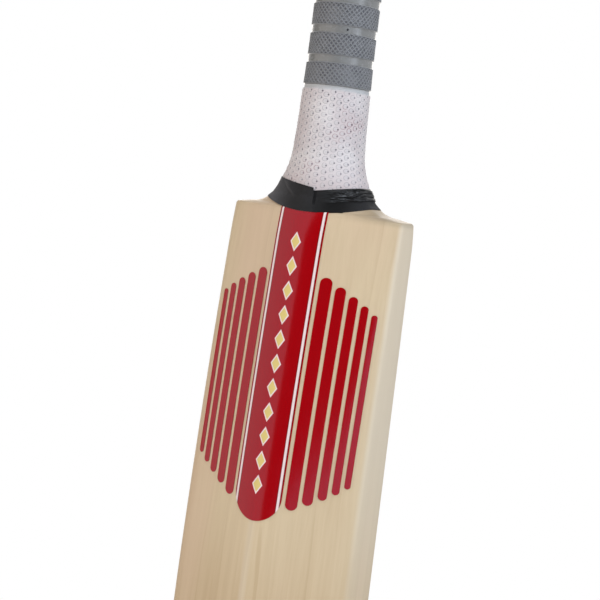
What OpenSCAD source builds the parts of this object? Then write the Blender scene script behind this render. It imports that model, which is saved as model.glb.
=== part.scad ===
// Cricket bat: a willow blade with a cane handle spliced into it.
// Z runs up the handle's axis from the flat toe, +Y is the hitting face and -Y the spine.

/* [Blade outline] */
// Length of the blade from the toe to the shoulder corners
blade_l = 557; // [500:1:590]
// Greatest width of the blade
blade_w = 108; // [98:0.5:108]
// Width across the shoulders
shoulder_w = 103.4; // [92:0.2:107]
// Width just above the toe's corners
toe_w = 104; // [90:0.5:107]
// Radius of the toe's corners, seen from the face
toe_r = 16; // [8:0.5:24]
// Radius of the shoulder corners, seen from the face
shoulder_r = 1.8; // [1:0.2:7]
// Length of the flat between each shoulder corner and the hollow curve
shoulder_flat = 9; // [2:0.5:12]

/* [Blade depth] */
// Distance of the face in front of the handle's axis, at the shoulders
face_set = 12.6; // [10:0.1:15]
// Rise of the rounded face from its edges to its middle
face_crown = 1.2; // [0.4:0.1:3]
// How far the toe sweeps forward of the shoulders
toe_bow = 10; // [0:0.5:12]
// Height of the swell, the deepest part of the blade, above the toe
swell_z = 215; // [150:1:280]
// Thickness of the edges at the shoulders
shoulder_edge = 18.4; // [14:0.2:24]
// Thickness of the edges at the swell
swell_edge = 38; // [28:0.5:40]
// Thickness of the edges at the toe
toe_edge = 20; // [16:0.5:28]
// Rise of the spine above the edges from the shoulders to the swell
spine_rise = 16.5; // [10:0.5:24]
// Rise of the spine above the edges at the toe
toe_rise = 8; // [3:0.5:14]
// Half width of the spine's rounded crest
crest_round = 5; // [2:0.5:12]
// Height over which the toe's front and back edges are eased
toe_ease = 5; // [2:0.5:10]

/* [Neck] */
// Height of the hollow curve from the shoulders to the round neck
neck_h = 35; // [28:0.5:44]
// Radius of the neck where the curve ends
neck_r = 17.6; // [16:0.1:19]
// Depth below the shoulder corners at which the blade starts to turn round
neck_run = 16; // [8:1:30]
// Thickness of the willow cheeks beside the splice, at the top of the hollow curve
cheek_t = 2; // [1.8:0.1:3]

/* [Splice] */
// Depth of the splice below the shoulder corners
splice_l = 131; // [100:1:150]
// Width of the splice at its tip
splice_tip_w = 12; // [11:0.5:16]
// Room for glue between pieces of wood and rubber
glue_line = 0.1; // [0.05:0.05:0.3]

/* [Handle] */
// Height of the handle's top above the shoulder corners
handle_l = 300; // [270:1:330]
// Diameter of the bare cane under the grip
cane_d = 30.4; // [28:0.2:32]
// Height above the shoulder corners at which the handle starts to widen
flare_h = 99; // [80:1:140]
// Width of the middle cane slips
cane_w = 10.2; // [8:0.1:10.8]
// Thickness of each rubber spring
spring_t = 1.4; // [0.8:0.1:1.8]
// Distance between the springs' middles
spring_pitch = 6.2; // [5:0.1:6.4]
// Chamfer round the top of the cane
cane_chamfer = 1.5; // [0.5:0.1:3]

/* [Binding] */
// Thickness of the twine whipping
twine_t = 0.7; // [0.4:0.1:1.2]
// Distance of the whipping's end below the top of the cane
twine_stop = 6; // [2:0.5:20]
// Thickness of the neck wrap
wrap_t = 1.55; // [1.4:0.05:2.2]
// Height of the wrap's foot above the shoulder corners
wrap_foot = 9; // [8:0.5:10]
// Height over which the wrap's foot thins out under the tape
hem_h = 8; // [5:0.5:10]
// Height of the thinner plain margin at the top of the wrap
margin_h = 2; // [1:0.5:6]
// Height of the tape's lower edge above the shoulder corners, at the spine
tape_foot = -0.2; // [-1:0.1:3]
// Radius of the tape's bowed lower edge
tape_bow_r = 92; // [70:1:140]
// Height of the tape's upper edge above the shoulder corners, at its cut end
tape_head = 11.2; // [10.6:0.1:14]
// Rise of the first turn's upper edge from the cut end to the bat's right side
tape_rise = 4; // [0:0.5:5]
// Height of the second turn's cut corner above the first turn's edge
lap_step = 1.4; // [0:0.1:2]
// Rise of the second turn's upper edge from that corner to the bat's left side
lap_rise = 3.8; // [0:0.1:5]
// Thickness of one turn of tape
tape_t = 0.25; // [0.2:0.05:0.5]
// Place of the tape's cut end, to the right of the spine
lap_x = 5; // [-12:0.5:12]
// Room between bound pieces
seat = 0.1; // [0.05:0.05:0.2]

/* [Grip] */
// Length of the grip sleeve
grip_l = 233.4; // [200:0.2:240]
// Wall of the grip at its raised bands
grip_wall = 1.6; // [1.2:0.1:3]
// Depth of the smooth grooves between the bands
groove_d = 0.5; // [0.3:0.1:1]
// Width of the smooth grooves
groove_w = 3.6; // [2:0.1:6]
// Distance from one band to the next
band_pitch = 15.5; // [10:0.1:24]
// Rounding of the bands' corners
band_ease = 0.5; // [0.2:0.1:1.5]
// Least length of the plain collar above the bands
collar_l = 8; // [4:0.5:20]
// Thickness of the lip turned in over the top of the cane
lip_t = 1.6; // [1:0.1:3]
// Radius of the opening inside the lip
lip_r = 11; // [8:0.5:13]

/* [Decals] */
// Thickness of the printed films
film_t = 0.2; // [0.1:0.05:0.4]
// Width of the film on the spine
band_w = 28.4; // [24:0.2:34]
// Distance of the spine film's rounded tip below the shoulder corners
band_foot = 166; // [130:1:180]
// Number of stripes on each side
stripes = 5; // [2:1:5]
// Width of the stripe next to the spine film
stripe_w = 6.2; // [5.2:0.1:6.8]
// How much narrower each stripe is than the one before
stripe_thin = 0.8; // [0.2:0.1:1.2]
// Gap between the stripes
stripe_gap = 2; // [1:0.1:2.4]
// Length of the stripe next to the spine film
stripe_l = 124; // [80:1:130]
// Distance of that stripe's upper end below the shoulder corners
stripe_head = 33; // [24:1:44]
// How much each stripe starts and stops short of the one before
stripe_step = 4; // [0:0.5:9]

/* [Hidden] */
$fn = 96;
LAYERS = ["front", "midfront", "midback", "back"];
COLUMNS = ["left", "centre", "right"];
SPRINGS = ["spring_front", "spring_centre", "spring_back"];
function cane_name(layer, column) = str("cane_", LAYERS[layer], "_", COLUMNS[column]);

// Heights above the toe
side_top = blade_l - shoulder_r;
neck_top = blade_l + neck_h;
flare_top = blade_l + flare_h;
top_z = blade_l + handle_l;
cane_top = top_z - lip_t - seat;
splice_tip = blade_l - splice_l;
grip_base = top_z - grip_l;
twine_base = neck_top + seat;
twine_top = cane_top - twine_stop;
wrap_base = blade_l + wrap_foot;
hem_top = wrap_base + hem_h;
wrap_top = grip_base - seat;
margin_z = wrap_top - margin_h;
tape_base = blade_l + tape_foot;
tape_top = blade_l + tape_head;
band_base = blade_l - band_foot;
stripe_top = blade_l - stripe_head;
stripe_base = stripe_top - stripe_l;

// Larger than any depth or width of the bat, for cutting
beyond = 2 * blade_w;
// Points from the middle to one edge of a section, and sections along each stretch of the outline
columns = 10;
corner_steps = 6;
side_steps = 16;
curve_steps = 7;
flare_steps = 6;
// Squareness of the blade's edges: 2 is an ellipse, larger is nearer a box
edge_power = 12;
// Bends of the lengthwise curves: 1 is straight, larger turns later
width_bend = 2;
edge_bend = 1.6;
bow_bend = 2;
flare_bend = 2;
// Bend of the hollow curve: 1 is an ellipse, 2 a straight slope
hollow_bend = 1.08;
// Rise of the shoulder flats
flat_rise = 1.4;
// How far the splice runs up into the turned part of the handle
shaft_lap = cheek_t / 2;
// Share of the toe's thickness that is left where its edges are eased
toe_keep = 0.82;
// Shares of the wrap's thickness that are left at its foot and at its plain margin
hem_share = 0.1;
margin_share = 0.6;
// Share of the whipping's thickness that lifts the outside of the wrap
lift_share = 0.7;

function mix(a, b, t) = a + (b - a) * t;
function unit(t) = min(1, max(0, t));
function smooth(t) = let (c = unit(t)) c * c * (3 - 2 * c);

// Shares of the way from the toe up to the swell, and from the swell up to the shoulders
function lower(z) = unit(z / swell_z);
function upper(z) = unit((z - swell_z) / (blade_l - swell_z));

// Half width of the blade's sides
function side_x(z) = (blade_w - (blade_w - toe_w) * pow(1 - lower(z), width_bend)
    - (blade_w - shoulder_w) * pow(upper(z), width_bend)) / 2;
// Thickness of the edges
function edge_at(z) = mix(toe_edge, swell_edge, sin(90 * lower(z)))
    - (swell_edge - shoulder_edge) * pow(upper(z), edge_bend);
// Rise of the spine above the edges
function rise_at(z) = mix(toe_rise, spine_rise, sin(90 * lower(z)));
// Forward sweep of the blade
function bow_at(z) = toe_bow * pow(unit(1 - z / blade_l), bow_bend);
// Radius of the turned handle
function handle_r(z) = mix(cane_d / 2, neck_r,
    pow(unit((flare_top - z) / (flare_top - neck_top)), flare_bend));
// How far a section has turned from the blade's form into the round neck
function neck_share(z) = smooth((z - blade_l + neck_run) / (neck_h + neck_run));
// Easing of the toe's front and back edges
function toe_share(z) = mix(toe_keep, 1, sqrt(1 - pow(1 - unit(z / toe_ease), 2)));

// Fall of a square edge and of a round one, from 1 in the middle to 0 at the edge
function square_fall(u) = pow(1 - pow(u, edge_power), 1 / edge_power);
function round_fall(u) = sqrt(1 - u * u);
// Fall of the spine's two facets from its rounded crest
function crest_fall(u, x) = let (k = crest_round / x)
    1 - (sqrt(u * u + k * k) - k) / (sqrt(1 + k * k) - k);

// Depth of the surface at share u of the half width x, grown by t; side 1 is the face, -1 the back
function depth(side, u, z, x, t) = let (
        edge = edge_at(z),
        middle = face_set - face_crown + bow_at(z) - edge / 2,
        swell = side > 0 ? face_crown * (1 - u * u) : rise_at(z) * crest_fall(u, x),
        blade = middle + side * toe_share(z) * (edge / 2 * square_fall(u) + swell),
        neck = side * handle_r(z) * round_fall(u),
        share = neck_share(z)
    ) mix(blade, neck, share) + side * t * mix(square_fall(u), round_fall(u), share);

// Points across one side of a section, from right to left
function across(side, z, x, t) = [for (k = [columns:-1:-columns]) let (u = sin(90 * k / columns))
    [u * (x + t), depth(side, abs(u), z, x, t), z]];

// Height and half width of every section: toe corner, side, shoulder corner, flat and hollow curve, handle
hollow_x = shoulder_w / 2 - shoulder_r - shoulder_flat - neck_r;
hollow_h = neck_h - flat_rise;
STATIONS = concat(
    [for (i = [0:corner_steps - 1]) let (a = 90 * i / corner_steps, z = toe_r * (1 - cos(a)))
        [z, side_x(z) - toe_r * (1 - sin(a))]],
    [for (i = [0:side_steps]) let (z = mix(toe_r, side_top, i / side_steps)) [z, side_x(z)]],
    [for (a = [30:30:90]) [side_top + shoulder_r * sin(a), shoulder_w / 2 - shoulder_r * (1 - cos(a))]],
    [for (i = [0:curve_steps]) let (a = 90 * i / curve_steps)
        [neck_top - hollow_h * pow(cos(a), hollow_bend), neck_r + hollow_x * (1 - pow(sin(a), hollow_bend))]],
    [for (i = [1:flare_steps]) let (z = mix(neck_top, flare_top, i / flare_steps)) [z, handle_r(z)]]
);

// Heights between two ends, with those of the sections and any others that fall there
function sorted(v) = len(v) < 2 ? v : concat(
    sorted([for (a = v) if (a < v[0]) a]), [v[0]], sorted([for (a = v) if (a > v[0]) a]));
function heights(from, to, others = []) = sorted(concat(
    [from, to],
    [for (s = STATIONS) if (s[0] > from && s[0] < to) s[0]],
    [for (z = others) if (z > from && z < to) z]
));
// Points across one side at any height, on the faces between two sections
function side_at(side, z, t) = let (
        i = max([for (i = [0:len(STATIONS) - 2]) if (STATIONS[i][0] <= z) i]),
        a = STATIONS[i],
        b = STATIONS[i + 1]
    ) mix(across(side, a[0], a[1], t), across(side, b[0], b[1], t), (z - a[0]) / (b[0] - a[0]));
function turned(v) = [for (i = [len(v) - 1:-1:0]) v[i]];
// Ring of points round the bat, over the face and back across the spine
function ring_at(z, t) = concat(side_at(1, z, t), [for (k = [2 * columns - 1:-1:1]) side_at(-1, z, t)[k]]);
// Radius of the turned handle on the straight runs between its sections
function shaft_r(z) = lookup(z, STATIONS);

// Solid through a run of rings, or a tube whose last ring joins the first
module loft(rings, tube = false) {
    n = len(rings[0]);
    rows = len(rings) - (tube ? 0 : 1);
    polyhedron(
        points = [for (ring = rings) each ring],
        faces = concat(
            [for (i = [0:rows - 1], j = [0:n - 1])
                let (k = (j + 1) % n, low = n * i, high = n * ((i + 1) % len(rings)))
                each [[low + j, high + k, low + k], [low + j, high + j, high + k]]],
            tube ? [] : [[for (j = [0:n - 1]) j], [for (j = [n - 1:-1:0]) n * rows + j]]
        )
    );
}
// The outer form of the wood between two heights, grown by t, and its half towards the face or the back
module wood_form(from, to, t = 0) {
    loft([for (z = heights(from, to)) ring_at(z, t)]);
}
module half_form(side, from, to, t = 0) {
    loft([for (z = heights(from, to)) side > 0 ? side_at(1, z, t) : turned(side_at(-1, z, t))]);
}

// Prism of an outline drawn on the plane of the face, right through the bat
module through() {
    rotate([90, 0, 0])
        linear_extrude(2 * beyond, center = true) children();
}

// Wedge of the splice, grown by gap and run on above the hollow curve: it widens upwards from its tip
function splice_x(z) = mix(splice_tip_w / 2, neck_r - cheek_t, (z - splice_tip) / (neck_top - splice_tip));
module splice_wedge(gap, run_on = 0) {
    tip = splice_tip - gap;
    head = neck_top + gap + run_on;
    side = [[splice_x(tip) + gap, tip], [splice_x(head) + gap, head]];
    through() polygon(concat(side, [for (p = turned(side)) [-p[0], p[1]]]));
}

module blade() {
    color("#d9c8a3") difference() {
        wood_form(0, neck_top - glue_line);
        splice_wedge(glue_line);
    }
}

// The turned part of the handle, above the splice
module shaft() {
    rotate_extrude() polygon(concat(
        [[0, neck_top]],
        [for (z = heights(neck_top, flare_top)) [shaft_r(z), z]],
        [[cane_d / 2, cane_top - cane_chamfer], [cane_d / 2 - cane_chamfer, cane_top], [0, cane_top]]
    ));
}
// One slip of the handle, between two widths and two depths
module slip(x, y) {
    intersection() {
        union() {
            shaft();
            children();
        }
        translate([x[0], y[0], 0]) cube([x[1] - x[0], y[1] - y[0], top_z]);
    }
}
// Wedge of a slip that comes out on the face (side 1) or the back (side -1), sanded just below the willow
module outer_wedge(side) {
    intersection() {
        half_form(side, splice_tip - splice_tip_w, neck_top + shaft_lap, -glue_line);
        splice_wedge(0, shaft_lap);
    }
}

// Depths of the cane layers, from the face to the back, and widths of the canes in each
layer_gap = spring_t / 2 + glue_line;
LAYER_Y = [
    [spring_pitch + layer_gap, beyond],
    [layer_gap, spring_pitch - layer_gap],
    [layer_gap - spring_pitch, -layer_gap],
    [-beyond, -spring_pitch - layer_gap]
];
COLUMN_X = [
    [-beyond, -(cane_w + glue_line) / 2],
    [-(cane_w - glue_line) / 2, (cane_w - glue_line) / 2],
    [(cane_w + glue_line) / 2, beyond]
];
module cane(layer, column) {
    inner = layer % 3 > 0;
    color("#c9a86a") slip(COLUMN_X[column], LAYER_Y[layer]) {
        if (inner) splice_wedge(0, shaft_lap);
        else outer_wedge(layer == 0 ? 1 : -1);
    }
}
module spring(i) {
    y = spring_pitch * (1 - i);
    color("#3b3532") slip([-beyond, beyond], [y - spring_t / 2, y + spring_t / 2])
        splice_wedge(0, shaft_lap);
}

module binding_twine() {
    rise = heights(twine_base, twine_top);
    color("#8a6a45") rotate_extrude() polygon(concat(
        [for (z = rise) [shaft_r(z) + seat, z]],
        [for (z = turned(rise)) [shaft_r(z) + seat + twine_t, z]]
    ));
}

// Clearances of the wrap from the wood: its inside passes over the whipping, its outside thins at both ends
function wrap_in(z) = z < neck_top ? seat : 2 * seat + twine_t;
function wrap_share(z) = z > margin_z ? margin_share
    : mix(hem_share, 1, unit((z - wrap_base) / hem_h));
function wrap_lift(z) = lift_share * (twine_t + seat) * smooth((z - neck_top) / (margin_z - neck_top));
function wrap_out(z) = seat + wrap_t * wrap_share(z) + wrap_lift(z);
module neck_wrap() {
    rise = heights(wrap_base, wrap_top, [hem_top, margin_z, margin_z + seat]);
    color("#d8d2d2") loft(concat(
        [for (z = rise) ring_at(z, wrap_out(z))],
        [for (z = turned(rise)) ring_at(z, wrap_in(z))]
    ), tube = true);
}

// Clearance of the tape's inside from the wood: on the blade, then up over the wrap's thin foot
tape_step = wrap_base - 2 * tape_t;
function tape_in(z) = z > tape_step ? wrap_out(max(z, wrap_base)) + seat : seat;
module tape_form(from, to, t) {
    rise = heights(from, to, [tape_step, tape_step + tape_t, wrap_base, hem_top]);
    loft([for (z = rise) ring_at(z, tape_in(z) + t)]);
}
// Region above the tape's bowed lower edge, grown by gap
module above_tape_edge(gap) {
    translate([0, tape_base + tape_bow_r]) circle(tape_bow_r + gap);
}
// One turn of tape, counted from the wood, below an upper edge given from left to right
module tape_turn(turn, edge) {
    ends = [edge[len(edge) - 1], edge[0]];
    intersection() {
        tape_form(tape_base - seat, max([for (p = edge) p[1]]), turn * tape_t);
        through() intersection() {
            above_tape_edge(0);
            polygon(concat(edge, [for (p = ends) [p[0], tape_base]]));
        }
    }
}
module shoulder_tape() {
    side = shoulder_w / 2;
    turn_top = tape_top + tape_rise;
    lap_z = tape_top + lap_step;
    lap_top = lap_z + lap_rise;
    color("#1b1b1d") difference() {
        union() {
            tape_turn(1, [[-side, tape_top], [lap_x, tape_top], [side / 2, turn_top], [side, turn_top]]);
            tape_turn(2, [[-side, lap_top], [-side / 2, lap_top], [lap_x, lap_z]]);
        }
        tape_form(tape_base - 2 * seat, max(lap_top, turn_top) + seat, 0);
    }
}

// Bands of the grip, counted from its foot, and the plain collar above them
bands = floor((grip_l - collar_l) / band_pitch);
band_h = band_pitch - groove_w;
collar_z = grip_base + bands * band_pitch;
grip_in = 2 * seat + twine_t;
function crest_r(z) = shaft_r(z) + grip_in + grip_wall;
function band_at(z) = [
    [crest_r(z + band_h) - groove_d, z + band_h],
    [crest_r(z + band_h - band_ease), z + band_h - band_ease],
    [crest_r(z + band_ease), z + band_ease],
    [crest_r(z) - groove_d, z]
];
module grip() {
    lip_z = cane_top + seat;
    color("#6f7072") rotate_extrude() polygon(concat(
        [for (z = heights(grip_base, lip_z)) [shaft_r(z) + grip_in, z]],
        [[lip_r, lip_z], [lip_r, top_z], [crest_r(top_z) - lip_t, top_z], [crest_r(top_z), top_z - lip_t]],
        [[crest_r(collar_z), collar_z + band_ease], [crest_r(collar_z) - groove_d, collar_z]],
        [for (i = [bands - 1:-1:0]) each band_at(grip_base + i * band_pitch)]
    ));
}

// Film on the back of the blade, cut to an outline that lies between two heights
module film(from, to) {
    color("#b01f2e") intersection() {
        difference() {
            half_form(-1, from - seat, to + seat, seat + film_t);
            wood_form(from - 2 * seat, to + 2 * seat, seat);
        }
        rotate([90, 0, 0]) linear_extrude(beyond) children();
    }
}
module decal_centre() {
    tip_z = band_base + band_w / 2;
    head = tape_base + tape_bow_r - sqrt(pow(tape_bow_r, 2) - pow(band_w / 2, 2));
    film(band_base, head) difference() {
        union() {
            translate([0, tip_z]) circle(d = band_w);
            translate([-band_w / 2, tip_z]) square([band_w, head - tip_z]);
        }
        above_tape_edge(seat);
    }
}
// One stripe with round ends, counted outwards from the spine film
function stripe_width(i) = stripe_w - i * stripe_thin;
function stripe_inner(i) = band_w / 2 + stripe_gap + i * (stripe_gap + stripe_w)
    - stripe_thin * i * (i - 1) / 2;
module stripe(i) {
    w = stripe_width(i);
    head = stripe_top - i * stripe_step - w / 2;
    foot = stripe_base + i * stripe_step + w / 2;
    translate([stripe_inner(i), 0]) {
        translate([w / 2, head]) circle(d = w);
        translate([w / 2, foot]) circle(d = w);
        translate([0, foot]) square([w, head - foot]);
    }
}
module side_stripes() {
    for (i = [0:stripes - 1]) stripe(i);
}
module decal_left() {
    film(stripe_base, stripe_top) mirror([1, 0]) side_stripes();
}
module decal_right() {
    film(stripe_base, stripe_top) side_stripes();
}

blade();
for (layer = [0:3], column = [0:2]) {
    cane(layer, column);
}
for (i = [0:2]) {
    spring(i);
}
binding_twine();
neck_wrap();
shoulder_tape();
grip();
decal_centre();
decal_left();
decal_right();
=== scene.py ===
"""Cricket bat: the looks of a willow bat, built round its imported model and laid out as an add-on."""

import math
from functools import cached_property

import bmesh
import bpy
import numpy as np
from bpy.props import FloatProperty, FloatVectorProperty, IntProperty, PointerProperty
from mathutils import Matrix, Vector, noise


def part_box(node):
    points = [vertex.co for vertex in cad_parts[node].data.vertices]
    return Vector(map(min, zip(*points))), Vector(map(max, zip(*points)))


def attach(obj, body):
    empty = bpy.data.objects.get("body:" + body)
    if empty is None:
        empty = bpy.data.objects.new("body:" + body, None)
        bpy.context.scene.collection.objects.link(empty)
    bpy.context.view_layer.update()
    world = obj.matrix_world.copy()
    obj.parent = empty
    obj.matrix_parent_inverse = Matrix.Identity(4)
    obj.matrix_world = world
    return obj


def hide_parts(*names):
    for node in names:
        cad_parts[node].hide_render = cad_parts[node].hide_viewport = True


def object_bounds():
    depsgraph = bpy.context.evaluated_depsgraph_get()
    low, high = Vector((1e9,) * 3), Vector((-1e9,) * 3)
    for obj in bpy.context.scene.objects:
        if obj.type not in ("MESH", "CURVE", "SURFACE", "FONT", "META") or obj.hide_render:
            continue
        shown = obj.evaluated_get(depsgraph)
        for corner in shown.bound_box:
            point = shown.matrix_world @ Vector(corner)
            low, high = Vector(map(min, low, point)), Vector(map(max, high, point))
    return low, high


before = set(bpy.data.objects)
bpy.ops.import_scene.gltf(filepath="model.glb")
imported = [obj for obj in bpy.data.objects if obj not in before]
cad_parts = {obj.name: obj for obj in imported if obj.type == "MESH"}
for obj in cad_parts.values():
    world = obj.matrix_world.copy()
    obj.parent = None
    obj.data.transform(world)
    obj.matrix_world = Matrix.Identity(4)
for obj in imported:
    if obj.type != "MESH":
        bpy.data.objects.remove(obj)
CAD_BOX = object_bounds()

bl_info = {
    "name": "Cricket bat",
    "version": (1, 0, 0),
    "blender": (4, 5, 0),
    "location": "View3D > Sidebar > Bat",
    "description": "Dresses the packed solids of a cricket bat with wood, rubber, wrap, tape and film",
    "category": "Add Mesh",
}

MM = 0.001
BODY = "root"
TURN = 2 * math.pi
SMOOTH_ANGLE = math.radians(32)
CANES = [f"cane_{layer}_{column}" for layer in ("front", "midfront", "midback", "back")
         for column in ("left", "centre", "right")]
SPRINGS = ["spring_front", "spring_centre", "spring_back"]

# Points across one side of a section or sheet, and rows along a sheet
BLADE_POINTS = 65
WRAP_POINTS = 161
TAPE_POINTS, TAPE_ROWS = 111, 61
SPINE_POINTS, SPINE_ROWS = 61, 181
STRIPE_POINTS, STRIPE_ROWS = 17, 91

# Share of the radius, height and mark of each ring of the small tiles; heights are in shares of a relief
PIT_LEVELS = ((1.0, 0.0), (0.74, -0.12), (0.46, -1.0))
PIP_LEVELS = ((1.0, 0.0), (0.8, 0.6), (0.4, 0.9))
PAD_LEVELS = ((1.14, -0.2, 0), (1.0, 0.05, -1), (0.88, 0.5, -0.6), (0.7, 1, 0.4), (0.3, 1, 1))
PORE_LEVELS = ((1.5, -0.2, 0), (1.2, 1.1, -0.5), (0.95, 1.25, -2), (0.7, 1.05, -2))
PIP_MARK, PORE_MARK = 2, -2
PIP_POINTS, PAD_POINTS, PORE_POINTS = 8, 14, 10

# Waves of the bunched tape: depth, waves round and up the tape, slant and seed
CRUMPLES, CRUMPLE_TOP = ((2.4, 1.5, 9, 1.6, 3.1), (2, 2.8, 20, -2.6, 7.7)), 1.7

# Least and greatest scale of the pads and pores, and the seed of their scatter
UNEVEN, SEED = ((0.86, 0.76, 0.7), (1.14, 1.04, 1.2)), 11

# Softboxes: turn, height and roll in degrees; distance, width and height in metres; watts; colour
LAMPS = (
    ("left_softbox", -39, 1, 0, 1.7, 2.6, 1.8, 14.2, "#fff5ec"),
    ("right_softbox", 36, -6, -40, 1.6, 0.8, 1.7, 4.6, "#dfefff"),
    ("high_softbox", 48, 56, 0, 1.25, 1.0, 0.8, 7.8, "#eaf3ff"),
    ("rim_softbox", 77, 16, 0, 1.8, 0.75, 1.6, 12.1, "#e6f0ff"),
    ("back_softbox", 208, 0, 0, 2.0, 1.6, 1.6, 21, "#fff8f0"),
)
LAMP_AIM = Vector((0, 0, 0.6))
FLOOR_REACH, FLOOR_POINTS = 0.85, 96
SENSOR_W, CLIP_START = 36, 0.05


def low(node):
    """Lower corner of a CAD node's box."""
    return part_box(node)[0]


def high(node):
    """Upper corner of a CAD node's box."""
    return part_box(node)[1]


def srgb(code):
    """Linear colour of a #rrggbb code."""
    parts = [int(code[i:i + 2], 16) / 255 for i in (1, 3, 5)]
    return [p / 12.92 if p <= 0.04045 else ((p + 0.055) / 1.055) ** 2.4 for p in parts]


def size(name, description, default, least=0.0):
    return FloatProperty(name=name, description=description, default=default, min=least, precision=5,
                         unit="LENGTH")


def number(name, description, default, least=1):
    return IntProperty(name=name, description=description, default=default, min=least)


def angle(name, description, degrees):
    return FloatProperty(name=name, description=description, default=math.radians(degrees), subtype="ANGLE")


def tint(name, description, code):
    return FloatVectorProperty(name=name, description=description, default=srgb(code), size=3,
                               min=0, max=1, subtype="COLOR")


# Settings

class BladeSettings(bpy.types.PropertyGroup):
    """Sizes of the wood, as in the solids, and its colours."""
    length: size("Length", "Blade from the toe to the shoulder corners", 557 * MM)
    width: size("Width", "Greatest width of the blade", high("blade").x - low("blade").x)
    shoulder_w: size("Shoulder width", "Width across the shoulders", 103.4 * MM)
    toe_w: size("Toe width", "Width just above the toe's corners", 104 * MM)
    toe_r: size("Toe radius", "Radius of the toe's corners", 16 * MM)
    shoulder_r: size("Shoulder radius", "Radius of the shoulder corners", 1.8 * MM)
    shoulder_flat: size("Shoulder flat", "Flat between a shoulder corner and the hollow curve", 9 * MM)
    flat_rise: size("Flat rise", "Rise of the shoulder flats", 1.4 * MM)
    face_set: size("Face set", "Face in front of the handle's axis at the shoulders", 12.6 * MM)
    face_crown: size("Face crown", "Rise of the rounded face", 1.2 * MM)
    toe_bow: size("Toe bow", "Forward sweep of the toe", 10 * MM)
    swell: size("Swell height", "Deepest part of the blade above the toe", 215 * MM)
    shoulder_edge: size("Shoulder edge", "Thickness of the edges at the shoulders", 18.4 * MM)
    swell_edge: size("Swell edge", "Thickness of the edges at the swell", 38 * MM)
    toe_edge: size("Toe edge", "Thickness of the edges at the toe", 20 * MM)
    spine_rise: size("Spine rise", "Rise of the spine above the edges", 16.5 * MM)
    toe_rise: size("Toe rise", "Rise of the spine at the toe", 8 * MM)
    crest: size("Crest", "Half width of the spine's rounded crest", 5 * MM)
    toe_ease: size("Toe ease", "Height over which the toe's edges are eased", 5 * MM)
    neck_h: size("Neck height", "Height of the hollow curve", 35 * MM)
    neck_r: size("Neck radius", "Radius of the neck where the curve ends", 17.6 * MM)
    neck_run: size("Neck run", "Depth at which the blade starts to turn round", 16 * MM)
    cheek: size("Cheek", "Thickness of the cheeks at the top of the hollow curve", 2 * MM)
    splice_l: size("Splice depth", "Depth of the splice below the shoulder corners", 131 * MM)
    splice_tip: size("Splice tip", "Width of the splice at its tip", 12 * MM)
    cane_r: size("Cane radius", "Radius of the bare cane under the grip", 15.2 * MM)
    flare_h: size("Flare height", "Height at which the handle starts to widen", 99 * MM)
    glue: size("Glue line", "Room for glue round the splice", 0.1 * MM)
    willow: tint("Willow", "Pale ground colour of the willow", "#d9c3a0")
    grain: tint("Grain", "Darker late wood of the growth rings", "#b4946a")
    blush: tint("Blush", "Faintly pink patches of the willow", "#dabc9f")
    # Edges: partly bare wood, partly a painted sheen.
    edge: tint("Edges", "Paler bare wood along the edges", "#e0d2bc")
    speck: tint("Specks", "Small brown flecks", "#8a6238")
    # Shoulders: the colour of a painted shade on the shoulder tops, heavier on the right.
    handled: tint("Shoulders", "Greyish brown of the handled shoulders", "#85745a")


class HandleSettings(bpy.types.PropertyGroup):
    """Colours of the cane, springs and twine."""
    cane: tint("Cane", "Golden ground of the cane", "#c8a468")
    fibre: tint("Fibres", "Paler fibres of the cane", "#e0c48c")
    pore: tint("Pores", "Dark pores of the cane", "#7d5a2c")
    spring: tint("Springs", "Dark rubber of the springs", "#2b2624")
    bloom: tint("Bloom", "Paler bloom on the springs", "#443b37")
    twine: tint("Twine", "Brown of the twine", "#6b4b2b")
    crown: tint("Crowns", "Paler crowns of the twine's turns", "#a58253")
    twine_w: size("Twine width", "Height of one turn of twine", 0.9 * MM)


class GripSettings(bpy.types.PropertyGroup):
    """Sizes and colours of the rubber grip."""
    wall: size("Wall", "Wall of the grip at its bands", 1.6 * MM)
    groove_d: size("Groove depth", "Depth of the smooth grooves", 0.5 * MM)
    groove_w: size("Groove width", "Width of the smooth grooves", 3.6 * MM)
    pitch: size("Band pitch", "Distance from one band to the next", 15.5 * MM)
    ease: size("Band ease", "Slope of the bands' shoulders", 0.5 * MM)
    bands: number("Bands", "Number of raised bands", 14)
    lip: size("Lip", "Thickness of the lip over the top of the cane", 1.6 * MM)
    lip_r: size("Lip radius", "Radius of the opening inside the lip", 11 * MM)
    bore: size("Bore room", "Room for twine between the cane and the sleeve", 0.9 * MM)
    cells: number("Cells", "Diamonds of the lattice round a band", 44, 8)
    rows: number("Rows", "Diamonds across a band", 4)
    pit: size("Pit depth", "Depth of the lattice's pits", 0.38 * MM)
    pip_r: size("Pip radius", "Radius of the small moulding pip", 0.6 * MM)
    pip_turn: angle("Pip turn", "Pip's turn round the handle from the spine side", 33.3)
    rubber: tint("Rubber", "Grey of the rubber", "#7d7d7e")
    smooth: tint("Grooves", "Grey of the smooth grooves", "#7b7a77")
    # Pits: grime and a painted shade in the lattice's recesses.
    dirt: tint("Pits", "Darker grey in the pits", "#55565b")
    dusty: tint("Dust", "Paler dust on the rubber", "#96979b")
    pip: tint("Pip", "Dark of the moulding pip", "#2a2a2c")


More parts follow.
